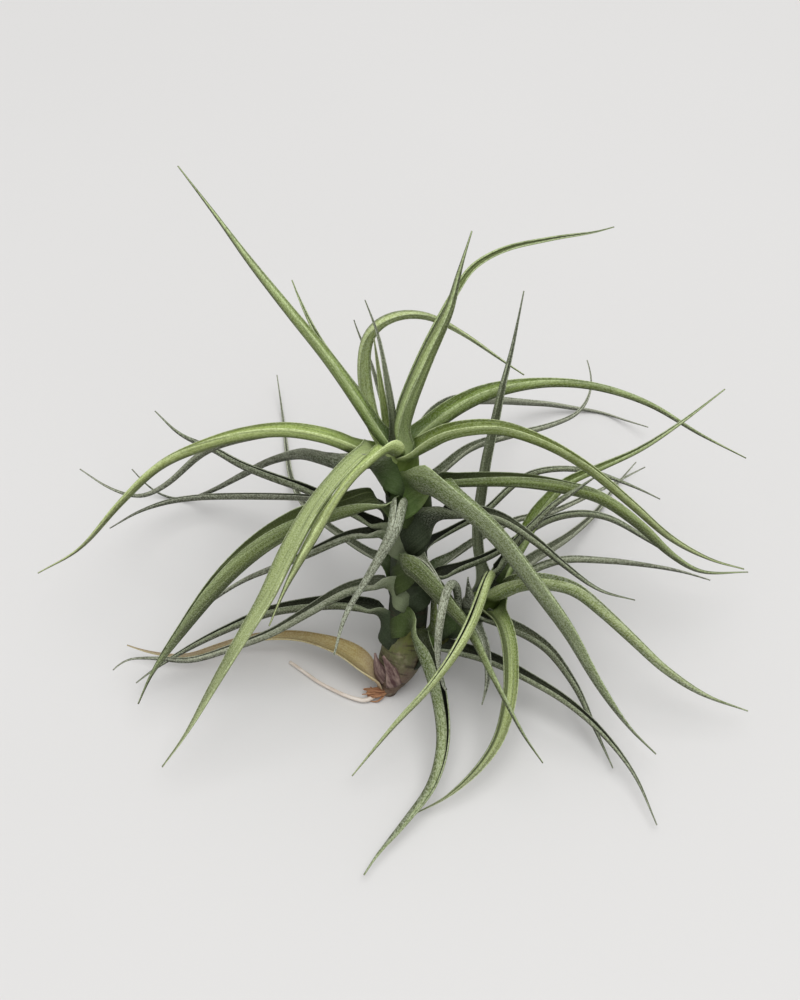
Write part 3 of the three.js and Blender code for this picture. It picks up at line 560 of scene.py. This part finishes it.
def channel_section(half_angle, roundness):
    """Half of a blade's cross-section for a half width of arc 1, ring by ring: how far out and up it is at
    each of HALF_SIDES, and which way it heads there. Roundness 1 is an arc of a circle, less nears a V."""
    share = np.linspace(0, 1, SECTION_STEPS + 1)
    heading = half_angle[:, None] * share ** roundness[:, None]
    step = 1 / SECTION_STEPS
    middle = (heading[:, 1:] + heading[:, :-1]) / 2
    start = np.zeros((len(heading), 1))
    out = np.hstack([start, np.cumsum(np.cos(middle) * step, axis=1)])
    up = np.hstack([start, np.cumsum(np.sin(middle) * step, axis=1)])
    wanted = np.round(HALF_SIDES * SECTION_STEPS).astype(int)
    return out[:, wanted], up[:, wanted], heading[:, wanted]


def both_halves(values):
    """Values from midrib to margin, given to both halves of each ring."""
    return np.hstack([values[:, ::-1], values[:, 1:]])[..., None]


def middle_and_spread(section, tangent):
    """Where the middle of each ring's section is, and how wide the viewer sees the section."""
    seen_across = unit(np.cross(tangent, FRONT))
    middle = 0
    for way in (np.cross(seen_across, tangent), seen_across):
        reach = np.einsum("rpa,ra->rp", section, way)
        low, high = reach.min(axis=1), reach.max(axis=1)
        middle = middle + ((low + high) / 2)[:, None] * way
    return middle, high - low


def thickened(sheet, normal, edgeward, share):
    """Closed rings round a sheet, with both faces of a blade and its rounded margins."""
    thin = 1 - TIP_THINNING * smoothstep(TIP_START, 1, share)
    half = (BLADE_THICKNESS / 2 * thin)[:, None] * (MARGIN_SHARE + (1 - MARGIN_SHARE) * (1 - SIDES**2))
    half = half[..., None]
    top, under = sheet + normal * half, sheet - normal * half
    margin = sheet + edgeward * half
    return np.concatenate([top, margin[:, -1:], under[:, ::-1], margin[:, :1]], axis=1)


class Leaf:
    """A leaf ring by ring, from the foot of its sheath to its tip, and its closed surface."""

    def __init__(self, shape, stem, rank):
        self.shape = shape
        self.rank = rank
        line, self.sheath_end, facing, sheath_bend = leaf_line(shape, stem, rank)
        along = distances(line)
        self.run = np.linspace(0, along[-1], int(along[-1] / RING_SPACING))
        self.centre = softened(at(line, along, self.run), int(SOFTENED_RUN / RING_SPACING))
        self.tangent = tangents(self.centre)
        self.share = np.clip((self.run - self.sheath_end) / (along[-1] - self.sheath_end), 0, 1)
        self.blade = smoothstep(self.sheath_end - BLADE_START, self.sheath_end + shape["clasp"], self.run)
        self.curl = np.radians(evenly(shape["curl"], self.share))
        bend = np.interp(self.run, np.linspace(0, self.sheath_end, len(sheath_bend)), sheath_bend)
        self.half_angle = (1 - self.blade) * shape["base"] * bend / 2 + self.blade * self.curl
        self.across, self.facing = self.ways(facing)

    def ways(self, facing):
        """Ring by ring, the way across the leaf to its one side and the way that its channel opens."""
        facing = carried(facing, self.tangent)
        turn_end = self.sheath_end + self.shape["turn_run"]
        turned = int(np.searchsorted(self.run, turn_end))
        turn = self.shape["turn"] * turn_to_sky(facing[turned], self.tangent[turned])
        roll = np.radians(evenly(self.shape["roll"], self.share))
        roll = (roll + turn * smoothstep(self.sheath_end - TURN_START, turn_end, self.run))[:, None]
        across = np.cross(facing, self.tangent)
        return across * np.cos(roll) + facing * np.sin(roll), facing * np.cos(roll) - across * np.sin(roll)

    def half_arc(self, spread):
        """Half the arc across each ring, for the sheath's own spread and the blade's width in the view."""
        width = np.maximum(evenly(self.shape["widths"], self.share) * self.shape["shrunk"], LEAST_WIDTH)
        width = np.maximum(width - BLADE_THICKNESS, LEAST_FLAT_SHARE * width)
        sheath = (1 - self.blade) * self.shape["base"] / 2
        return sheath + self.blade * width / np.maximum(spread, LEAST_SPREAD)

    def surface(self):
        """The closed surface of sheath and channelled blade, which has its middle on the leaf's line."""
        v_shape = self.blade * (1 - smoothstep(*TUBE_CURL, self.curl))
        section = channel_section(self.half_angle, 1 - (1 - V_ROUNDNESS) * v_shape)
        out, up, heading = (both_halves(values) for values in section)
        outward = self.across[:, None] * np.where(SIDES < 0, -1, 1)[:, None]
        facing = self.facing[:, None]
        section = out * outward + up * facing
        middle, spread = middle_and_spread(section, self.tangent)
        half_arc = self.half_arc(spread)
        section = section - (self.blade[:, None] * middle)[:, None]
        sheet = self.centre[:, None] + half_arc[:, None, None] * section
        normal = np.cos(heading) * facing - np.sin(heading) * outward
        edgeward = np.cos(heading) * outward + np.sin(heading) * facing
        rings = thickened(sheet, normal, edgeward, self.share)
        signed_share = np.where(self.run < self.sheath_end, self.run / self.sheath_end - 1, self.share)
        grain_depth = self.rank * GRAIN_STEP + RING_FACE
        return closed_surface(rings, blade_cap(len(SIDES)), {
            "blade": vectors(RING_SIDES, signed_share[:, None], RING_FACE),
            "grain": vectors(RING_SIDES * half_arc[:, None], self.run[:, None], grain_depth),
            "tint": self.tint(),
        })

    def tint(self):
        """Painted shade on the skin, 1 for full shade and 2 for the near-black inside of a closed channel,
        how silvery it is, and how much lighter it is, partly its own tone and partly painted light and
        shade.
        """
        share = self.share[:, None]
        on_blade = smoothstep(0, 0.08, share)
        # Painted shade in the channel, on the underside and on one half of the blade.
        dim = self.shape["dim"] * on_blade * smoothstep(0.4, 0.6, RING_FACE)
        under = self.shape["under"] * on_blade * smoothstep(0.4, 0.2, RING_FACE)
        shaded = self.shape["shaded"]
        one_side = abs(shaded) * on_blade * smoothstep(-0.05, 0.15, RING_SIDES * np.sign(shaded))
        hollow = 2 * smoothstep(*CLOSING_CURL, self.half_angle[:, None]) * smoothstep(0.6, 1, RING_FACE)
        dark = np.maximum.reduce(np.broadcast_arrays(dim, under, one_side, hollow))
        silver = self.shape["silver"] * (0.05 + 0.95 * smoothstep(0.02, 0.22, share))
        return vectors(dark, silver, evenly(self.shape["light"], share))


def blade_cap(points):
    """The flat end of a blade: quads between its two faces, and a triangle at each margin."""
    last = 2 * points
    cap = [[step, step + 1, last - step - 1, last - step] for step in range(points - 1)]
    cap.append([last + 1, 0, last])
    cap.append([points - 1, points, points + 1])
    return cap


def closed_surface(rings, cap, looks):
    """The points, faces and point vectors of a closed surface through rings of points."""
    count, sides = rings.shape[:2]
    ring = np.arange(count - 1)[:, None] * sides
    side = np.arange(sides)
    following = (side + 1) % sides
    above = ring + sides
    quads = np.stack([ring + side, ring + following, above + following, above + side], axis=-1)
    last = (count - 1) * sides
    faces = quads.reshape(-1, 4).tolist()
    faces += [polygon[::-1] for polygon in cap]
    faces += [[last + corner for corner in polygon] for polygon in cap]
    return rings.reshape(-1, 3), faces, {key: values.reshape(-1, 3) for key, values in looks.items()}


def mesh_object(name, surfaces):
    """One mesh object from closed surfaces, in metres, with the vectors that its material reads."""
    points, faces, start = [], [], 0
    for surface_points, surface_faces, _ in surfaces:
        points.append(surface_points * MM)
        faces += [[corner + start for corner in face] for face in surface_faces]
        start += len(surface_points)
    mesh = bpy.data.meshes.new(name)
    mesh.from_pydata(np.vstack(points).tolist(), [], faces)
    mesh.polygons.foreach_set("use_smooth", [True] * len(mesh.polygons))
    for key in surfaces[0][2]:
        values = np.vstack([looks[key] for _, _, looks in surfaces])
        layer = mesh.attributes.new(key, "FLOAT_VECTOR", "POINT")
        layer.data.foreach_set("vector", np.ascontiguousarray(values, dtype=np.float32).ravel())
    piece = bpy.data.objects.new(name, mesh)
    bpy.context.collection.objects.link(piece)
    return piece


def lumpiness(angle, wanted, seed):
    """Slow waves round a strand and along it."""
    chance = np.random.default_rng(seed)
    wave = 0
    for turns in (1, 2, 3, 4):
        height, start, drift = chance.uniform(-1, 1), chance.uniform(0, 6), chance.uniform(0.2, 0.7)
        wave = wave + height * np.sin(turns * angle + start + wanted[:, None] * drift)
    return wave


def strand(path, radii, seed, lumps, sides, spacing):
    """A round strand along a path, with slow lumps. Its 'blade' vector says how far along each point is."""
    along = distances(path)
    wanted = np.linspace(0, along[-1], int(along[-1] / spacing))
    centre = at(path, along, wanted)
    tangent = tangents(centre)
    side_way = carried(np.array([1.0, 0.2, 0.1]), tangent)
    up_way = np.cross(tangent, side_way)
    radius = np.interp(wanted, along, radii)[:, None]
    angle = np.arange(sides) / sides * 2 * math.pi
    cosine, sine = np.cos(angle), np.sin(angle)
    reach = radius * (1 + lumps * lumpiness(angle, wanted, seed))
    spoke = cosine[:, None] * side_way[:, None] + sine[:, None] * up_way[:, None]
    rings = centre[:, None] + reach[..., None] * spoke
    return closed_surface(rings, [list(range(sides))], {
        "blade": vectors(cosine, (wanted / along[-1])[:, None], 0.5),
        "grain": vectors(cosine * radius, wanted[:, None], sine * radius),
    })


def root_strand(root):
    path = smooth_path(root["path"])
    return strand(path, sampled(root["radii"], path), **root["skin"])


def tuft(root):
    """Wiry fibres that start together in the stem's foot and end apart."""
    path = smooth_path(root["path"])
    share = np.linspace(0, 1, len(path))
    opened = smoothstep(0, 1, share)[:, None]
    swing = np.sin(np.linspace(0, math.pi, len(path)))[:, None]
    radii = np.linspace(FIBRE_RADIUS, FIBRE_RADIUS * FIBRE_END, len(path))
    chance = np.random.default_rng(FIBRES)
    fibres = []
    for number in range(FIBRES):
        aside = chance.uniform(-1, 1, 3) * FIBRE_SPREAD
        bend = swing * chance.uniform(-FIBRE_SWING, FIBRE_SWING, 3) * FIBRE_SPREAD
        fibre = path + opened * aside + bend
        fibre[:, 2] = np.maximum(fibre[:, 2], FIBRE_RADIUS)
        fibres.append(strand(fibre, radii, seed=number, **FIBRE_SKIN))
    return fibres


def paint(text):
    """A linear colour from the two-digit red, green and blue of a picture."""
    values = [int(text[start:start + 2], 16) / 255 for start in (0, 2, 4)]
    return [v / 12.92 if v <= 0.04045 else ((v + 0.055) / 1.055) ** 2.4 for v in values] + [1]


class Graph:
    """A material's node tree, with short ways to add the nodes that the looks here are made of."""

    def __init__(self, name):
        self.material = bpy.data.materials.new(name)
        self.material.use_nodes = True
        self.tree = self.material.node_tree
        self.tree.nodes.clear()

    def put(self, value, socket):
        if isinstance(value, bpy.types.NodeSocket):
            self.tree.links.new(value, socket)
        else:
            socket.default_value = value

    def node(self, kind, inputs, output, **settings):
        made = self.tree.nodes.new(kind)
        for key, value in settings.items():
            setattr(made, key, value)
        for key, value in inputs.items():
            self.put(value, made.inputs[key])
        return made.outputs[output]

    def parts(self, name):
        """The three parts of one of the mesh's vectors."""
        vector = self.node("ShaderNodeAttribute", {}, "Vector", attribute_name=name)
        return [self.node("ShaderNodeSeparateXYZ", {"Vector": vector}, axis) for axis in "XYZ"]

    def grain(self):
        return self.node("ShaderNodeAttribute", {}, "Vector", attribute_name="grain")

    def maths(self, operation, one, other=0.0, clamp=False):
        return self.node("ShaderNodeMath", {0: one, 1: other}, 0, operation=operation, use_clamp=clamp)

    def times(self, one, other, clamp=False):
        return self.maths("MULTIPLY", one, other, clamp)

    def drifting(self, value, noise):
        """A value that noise moves a little up and down."""
        return self.maths("ADD", value, self.times(self.maths("SUBTRACT", noise, 0.5), 0.25))

    def span(self, value, low, high, to_low=0.0, to_high=1.0):
        """A value's smooth step from one range to another."""
        inputs = {"Value": value, "From Min": low, "From Max": high, "To Min": to_low, "To Max": to_high}
        return self.node("ShaderNodeMapRange", inputs, "Result", interpolation_type="SMOOTHSTEP")

    def mix(self, share, one, other):
        """The first colour with a share of the other. A mix node's sockets for colours are 6, 7 and 2."""
        return self.node("ShaderNodeMix", {0: share, 6: one, 7: other}, 2, data_type="RGBA")

    def layered(self, body, layers, values, colours):
        """A colour with others over it. Each covers what its shares, multiplied, say."""
        for colour, *shares in layers:
            cover = 1.0
            for value, *limits in shares:
                share = self.span(values[value], *limits) if limits else values[value]
                cover = self.times(cover, share)
            body = self.mix(cover, body, colours[colour])
        return body

    def ramp(self, value, stops):
        """Colours that change along a value, each with the place where it is reached."""
        made = self.tree.nodes.new("ShaderNodeValToRGB")
        elements = made.color_ramp.elements
        while len(elements) < len(stops):
            elements.new(0.5)
        for element, (position, colour) in zip(elements, stops):
            element.position = position
            element.color = paint(colour)
        self.put(value, made.inputs[0])
        return made.outputs[0]

    def noise(self, vector, scale, detail=3.0, roughness=0.5):
        """Noise of one scale, or of a scale for each part of the vector."""
        if isinstance(scale, tuple):
            vector = self.node("ShaderNodeMapping", {"Vector": vector, "Scale": scale}, "Vector")
            scale = 1.0
        inputs = {"Vector": vector, "Scale": scale, "Detail": detail, "Roughness": roughness}
        return self.node("ShaderNodeTexNoise", inputs, "Fac")

    def finish(self, colour, roughness, relief, strength, depth, specular=0.35):
        """The material of a colour, with a relief of a depth in millimetres."""
        bump = {"Height": relief, "Strength": strength, "Distance": depth * MM}
        looks = {"Base Color": colour, "Roughness": roughness, "Specular IOR Level": specular}
        looks["Normal"] = self.node("ShaderNodeBump", bump, "Normal")
        shader = self.node("ShaderNodeBsdfPrincipled", looks, "BSDF")
        output = self.tree.nodes.new("ShaderNodeOutputMaterial")
        self.put(shader, output.inputs["Surface"])
        return self.material


# A leaf's colours: of its sheath, of the blade near the stem, half way and at its tip, then of its meal,
# which also serves for painted highlights, and of its margin, which also serves for painted shade. Then how
# much silvery scurf it has. The coats are the same on all leaves.
LEAF_TONES = {
    "fresh": ["6c8239", "8da43f", "a5b35f", "74745a", "cfde9a", "3b451b", 0.16],
    "green": ["4e642f", "7f9836", "93a553", "5f6051", "b6c78a", "2b3212", 0.2],
    "grey": ["46592f", "64714a", "83876d", "5f5e58", "a8ac94", "292c1b", 0.35],
    "dark": ["303b26", "4d572f", "666a4c", "45443e", "969f7e", "15190a", 0.3],
    "dying": ["b19d80", "b8a767", "b5a070", "9c908a", "cdc08c", "7d6541", 0.15],
}
# Painted shade at the foot of a sheath, where it goes into the stem.
SHEATH_FOOT_SHADE = "1d2414"
# The last coat is painted shade, near black, for the inside of a closed channel.
LEAF_COATS = {"scurf": "cdd4bf", "silver": "b7beab", "hollow": "11140b"}

# Layers of a leaf's skin, from the lowest up: a colour, and the shares of it, which are multiplied. A share
# is a value, or its smooth step between two limits from 0 to 1 or from one given share to another.
MEAL_LAYERS = [
    # A pale band in the meal's colour along the channel, and a painted highlight in the same colour along
    # the rims of the underside.
    ("mealy", ("side", 0.9, 0.2), ("patches", 0.25, 0.7, 0.2, 0.6), ("upper", 0.4, 0.9), ("on_blade",)),
    ("mealy", ("side", 0.6, 0.95, 0, 0.8), ("upper", 0.95, 0.5), ("on_blade",)),
    # Lighter and darker stretches along the leaf, partly its own tone and partly painted light and shade.
    ("mealy", ("lighter",), ("along", -1, -0.3), ("along", 0.95, 0.6)),
    ("margin", ("darker",)),
]
SHADE_LAYERS = [
    # Painted shade, as the tint gives it: in the channel, on the underside, on one half and in closed
    # channels.
    ("shade", ("dark", 0, 1)),
    # Painted shade along the keel below, dark edges above, and a pale line round the margin that is partly
    # its own pale margin and partly a painted highlight.
    ("margin", ("side", 0.85, 0.15, 0, 0.95), ("upper", 0.7, 0.3), ("on_blade",)),
    ("margin", ("side", 0.8, 0.97, 0, 0.6), ("upper", 0.4, 0.9), ("on_blade",)),
    ("rim", ("off_margin", 0.4, 0.1, 0, 0.75), ("along", 0, 0.06)),
    # Long pale and dark streaks.
    ("mealy", ("streaks", 0.5, 0.66, 0, 0.27), ("grown",)),
    ("shade", ("streaks", 0.46, 0.34, 0, 0.5), ("grown",)),
]
COAT_LAYERS = [
    # Veins, gaps in the meal and specks of scurf, fewer where painted shade is, and painted shade, near
    # black, inside a closed channel.
    ("shade", ("veins", 0.5, 0.34, 0, 0.75), ("grown",)),
    ("shade", ("meal", 0.54, 0.38, 0, 0.45), ("grown",)),
    ("scurf", ("meal", 0.44, 0.64), ("on_blade", 0, 1, 0.08, 1), ("dark", 0.4, 1, 1, 0.3), ("scurf",)),
    ("hollow", ("dark", 1, 1.6, 0, 0.95)),
]

# A stem's colours from its foot up, the last dark greens partly its own colour and partly painted shade
# between
# the leaf bases, and the layers over them: old fibres, the scars of leaves, and lichen.
STEM_RAMP = [
    (0.0, "5e4537"), (0.06, "6b5a4b"), (0.14, "655f48"), (0.21, "5d603c"), (0.26, "63672f"),
    (0.31, "232b18"), (0.55, "303b23"), (1.0, "36432a"),
]
STEM_COATS = {"fibre": "574238", "scar": "33291c", "lichen": "9a8f7c"}
STEM_LAYERS = [
    ("fibre", ("fibres", 0.5, 0.75, 0, 0.6), ("along", 0.34, 0.26)),
    ("scar", ("scars", 0.5, 0.36, 0, 0.75)),
    ("lichen", ("cloud", 0.56, 0.72, 0, 0.5), ("along", 0.3, 0.22)),
]

# The dry parts: a pale and a dark colour, and how fine their fibres are. Then the floor's two colours.
DRY_LOOKS = {
    "dry_scale": ["a08a80", "4f3636", 1.2],
    "dry_root": ["bb8f69", "80533a", 1.5],
    "pale_root": ["e6dfd6", "cdbfb0", 1.5],
}
FLOOR_COLOURS = ["d3d2d1", "d5d4d3"]


def leaf_values(g):
    """What a leaf's layers depend on: the place on the leaf, its tint, and noise drawn out along it. The
    value along is from -1 to 0 up the sheath and from 0 to 1 along the blade."""
    across, along, upper = g.parts("blade")
    dark, silver, light = g.parts("tint")
    grain = g.grain()
    return {
        "side": g.maths("ABSOLUTE", across), "along": along, "upper": upper,
        "off_margin": g.maths("ABSOLUTE", g.maths("SUBTRACT", upper, 0.5)),
        "on_blade": g.span(along, -0.02, 0.1),
        "grown": g.span(along, 0.0, 0.18, 0.15, 1.0),
        "dark": dark, "silver": silver,
        "lighter": g.times(light, 1.0, clamp=True),
        "darker": g.times(light, -1.0, clamp=True),
        "drift": g.noise(grain, (0.12, 0.06, 1)),
        "patches": g.noise(grain, (0.5, 0.12, 1)),
        "streaks": g.noise(grain, (1.4, 0.04, 1), 2.0, 0.6),
        "veins": g.noise(grain, (3.4, 0.07, 1), 5.0, 0.7),
        "meal": g.noise(grain, (4.2, 2.2, 1), 2.0, 0.7),
    }


def leaf_ground(g, values, sheath, root, middle, tip):
    """The colour that changes from sheath to tip, not quite at the same place all across the leaf, with
    painted shade at the sheath's foot where it goes into the stem.
    """
    ends = {"Value": g.drifting(values["along"], values["drift"]), "From Min": -1.0, "From Max": 1.0}
    share = g.node("ShaderNodeMapRange", ends, "Result")
    return g.ramp(share, [
        (0.03, SHEATH_FOOT_SHADE), (0.33, sheath), (0.51, sheath), (0.58, root), (0.74, middle), (0.93, tip),
    ])


def leaf_material(tone):
    """Scurfy leaf skin: layers over a ground colour, painted shade and painted highlights among them, and a
    relief of veins and meal.
    """
    g = Graph(f"{tone}_leaf")
    *ground, mealy, margin, scurf = LEAF_TONES[tone]
    values = leaf_values(g) | {"scurf": scurf}
    texts = LEAF_COATS | {"mealy": mealy, "margin": margin}
    colours = {key: paint(text) for key, text in texts.items()}
    # The pale margin line's colour, which also stands for a painted highlight on the rim.
    colours["rim"] = g.mix(0.35, colours["mealy"], colours["scurf"])
    body = g.layered(leaf_ground(g, values, *ground), MEAL_LAYERS, values, colours)
    # The shade colour, the blade darkened towards its margin colour: painted shade, and also dark streaks,
    # veins and gaps in the meal.
    colours["shade"] = g.mix(0.8, body, colours["margin"])
    body = g.layered(body, SHADE_LAYERS, values, colours)
    bare = g.mix(0.35, body, colours["margin"])
    silvery = g.mix(g.span(values["meal"], 0.38, 0.58), bare, colours["silver"])
    body = g.layered(g.mix(values["silver"], body, silvery), COAT_LAYERS, values, colours)
    relief = g.maths("ADD", g.times(values["veins"], 0.8), g.times(values["meal"], 0.6))
    return g.finish(body, g.span(values["patches"], 0.2, 0.8, 0.58, 0.75), relief, 0.6, 0.15, specular=0.2)


def stem_material():
    """The stem's skin, seen where no sheath covers it: brown, then olive and yellow-green, then a dark green
    that is partly its own and partly painted shade between the leaf bases.
    """
    g = Graph("stem_skin")
    grain = g.grain()
    values = {
        "along": g.parts("blade")[1],
        "cloud": g.noise(grain, 0.28, 4.0),
        "scars": g.noise(grain, (0.15, 1.1, 0.15)),
        "fibres": g.noise(grain, (2.2, 0.3, 2.2), 4.0),
    }
    colours = {key: paint(colour) for key, colour in STEM_COATS.items()}
    ground = g.ramp(g.drifting(values["along"], values["cloud"]), STEM_RAMP)
    body = g.layered(ground, STEM_LAYERS, values, colours)
    relief = g.maths("ADD", values["fibres"], g.times(values["scars"], 1.5))
    return g.finish(body, g.span(values["cloud"], 0.3, 0.7, 0.55, 0.8), relief, 0.6, 0.4)


def fibrous_material(name):
    """Dry plant matter: streaks of a pale and a dark colour along the piece."""
    g = Graph(name)
    pale, dark, fine = DRY_LOOKS[name]
    streaks = g.noise(g.grain(), (fine, fine * 0.15, fine), 5.0, 0.65)
    clouds = g.noise(g.grain(), 0.5)
    body = g.mix(g.span(streaks, 0.35, 0.65), paint(dark), paint(pale))
    body = g.mix(g.span(clouds, 0.35, 0.75, 0.0, 0.5), body, paint(dark))
    return g.finish(body, g.span(clouds, 0.2, 0.8, 0.75, 0.95), streaks, 0.5, 0.15)


def floor_material():
    g = Graph("pale_floor")
    cloud = g.noise(g.node("ShaderNodeTexCoord", {}, "Object"), 3.0, 4.0)
    body = g.mix(g.span(cloud, 0.3, 0.7), *map(paint, FLOOR_COLOURS))
    return g.finish(body, 0.9, cloud, 0.02, 1, specular=0.1)


def add_part(node, suffix, surfaces, finish):
    """The piece that stands for a CAD node, and moves with the plant."""
    piece = mesh_object(f"{node}_{suffix}", surfaces)
    piece.data.materials.append(finish)
    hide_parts(node)
    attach(piece, "root")


def add_stems(finish):
    stems = {name: Stem(shape) for name, shape in STEMS.items()}
    for name, stem in stems.items():
        add_part(name, "skin", [strand(stem.path, stem.core, **STEMS[name]["skin"])], finish)
    return stems


def add_leaves(kind, table, stem, finishes):
    for rank, (name, shape) in enumerate(table.items()):
        tone = shape["tone"]
        surface = Leaf(shape, stem, rank).surface()
        add_part(f"{kind}_{name}", "blade", [surface], finishes[tone])


def add_dry_parts(stem, finishes):
    for rank, (name, shape) in enumerate(DRY_SCALES.items()):
        surface = Leaf(shape, stem, rank).surface()
        add_part(f"dry_scale_{name}", "husk", [surface], finishes["dry_scale"])
    fibres, pale = ROOTS["root_fibres"], ROOTS["root_pale"]
    add_part("root_fibres", "tuft", [root_strand(fibres)] + tuft(fibres), finishes["dry_root"])
    add_part("root_pale", "strand", [root_strand(pale)], finishes["pale_root"])


# The floor's size, the lamps with their places, sizes and powers, the spot that they light and the sky's
# strength.
FLOOR_SIZE = 6
LAMPS = {
    "overhead_softbox": [(0.15, 0.1, 1.8), 1.7, 16.2],
    "front_softbox": [(0.1, -0.45, 1.3), 1.2, 5.2],
}
LIT_SPOT = (0, 0.03, 0)
SKY_STRENGTH = 0.58


def add_floor():
    bpy.ops.mesh.primitive_plane_add(size=FLOOR_SIZE)
    floor = bpy.context.object
    floor.name = "floor"
    floor.data.materials.append(floor_material())


def add_lamp(name, spot, size, power):
    """A round soft lamp that faces the plant."""
    light = bpy.data.lights.new(name, "AREA")
    light.shape = "DISK"
    light.size = size
    light.energy = power
    lamp = bpy.data.objects.new(name, light)
    lamp.location = spot
    direction = Vector(LIT_SPOT) - Vector(spot)
    lamp.rotation_euler = direction.to_track_quat("-Z", "Y").to_euler()
    bpy.context.collection.objects.link(lamp)


def add_sky():
    world = bpy.data.worlds.new("soft_room")
    world.use_nodes = True
    background = world.node_tree.nodes["Background"]
    background.inputs["Color"].default_value = (1, 1, 1, 1)
    background.inputs["Strength"].default_value = SKY_STRENGTH
    bpy.context.scene.world = world
    bpy.context.scene.view_settings.view_transform = "Standard"


def add_camera():
    """A camera at the viewer's eye, whose picture has the view's own units."""
    camera = bpy.data.cameras.new("camera")
    camera.sensor_width = 36
    camera.lens = camera.sensor_width * VIEW_DISTANCE / (VIEW_LONG_SIDE * VIEW_UNIT)
    camera.clip_start, camera.clip_end = 0.01, 20
    seen_from = bpy.data.objects.new("camera", camera)
    seen_from.location = (EYE - sight_point(FOOT)) * MM
    seen_from.rotation_euler = (math.pi / 2 - VIEW_ELEVATION, 0, 0)
    bpy.context.collection.objects.link(seen_from)
    bpy.context.scene.camera = seen_from


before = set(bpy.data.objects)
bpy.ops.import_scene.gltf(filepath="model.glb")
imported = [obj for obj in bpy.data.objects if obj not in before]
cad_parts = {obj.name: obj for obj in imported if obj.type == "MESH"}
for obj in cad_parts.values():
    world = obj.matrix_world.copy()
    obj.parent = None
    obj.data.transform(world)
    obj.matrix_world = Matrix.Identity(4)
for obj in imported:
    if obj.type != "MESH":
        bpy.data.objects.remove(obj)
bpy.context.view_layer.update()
leaf_finishes = {tone: leaf_material(tone) for tone in LEAF_TONES}
stems = add_stems(stem_material())
add_leaves("leaf", MAIN_LEAVES, stems["main_stem"], leaf_finishes)
add_leaves("offset_leaf", OFFSET_LEAVES, stems["offset_stem"], leaf_finishes)
add_dry_parts(stems["main_stem"], {name: fibrous_material(name) for name in DRY_LOOKS})
add_floor()
for name, lamp_values in LAMPS.items():
    add_lamp(name, *lamp_values)
add_sky()
add_camera()
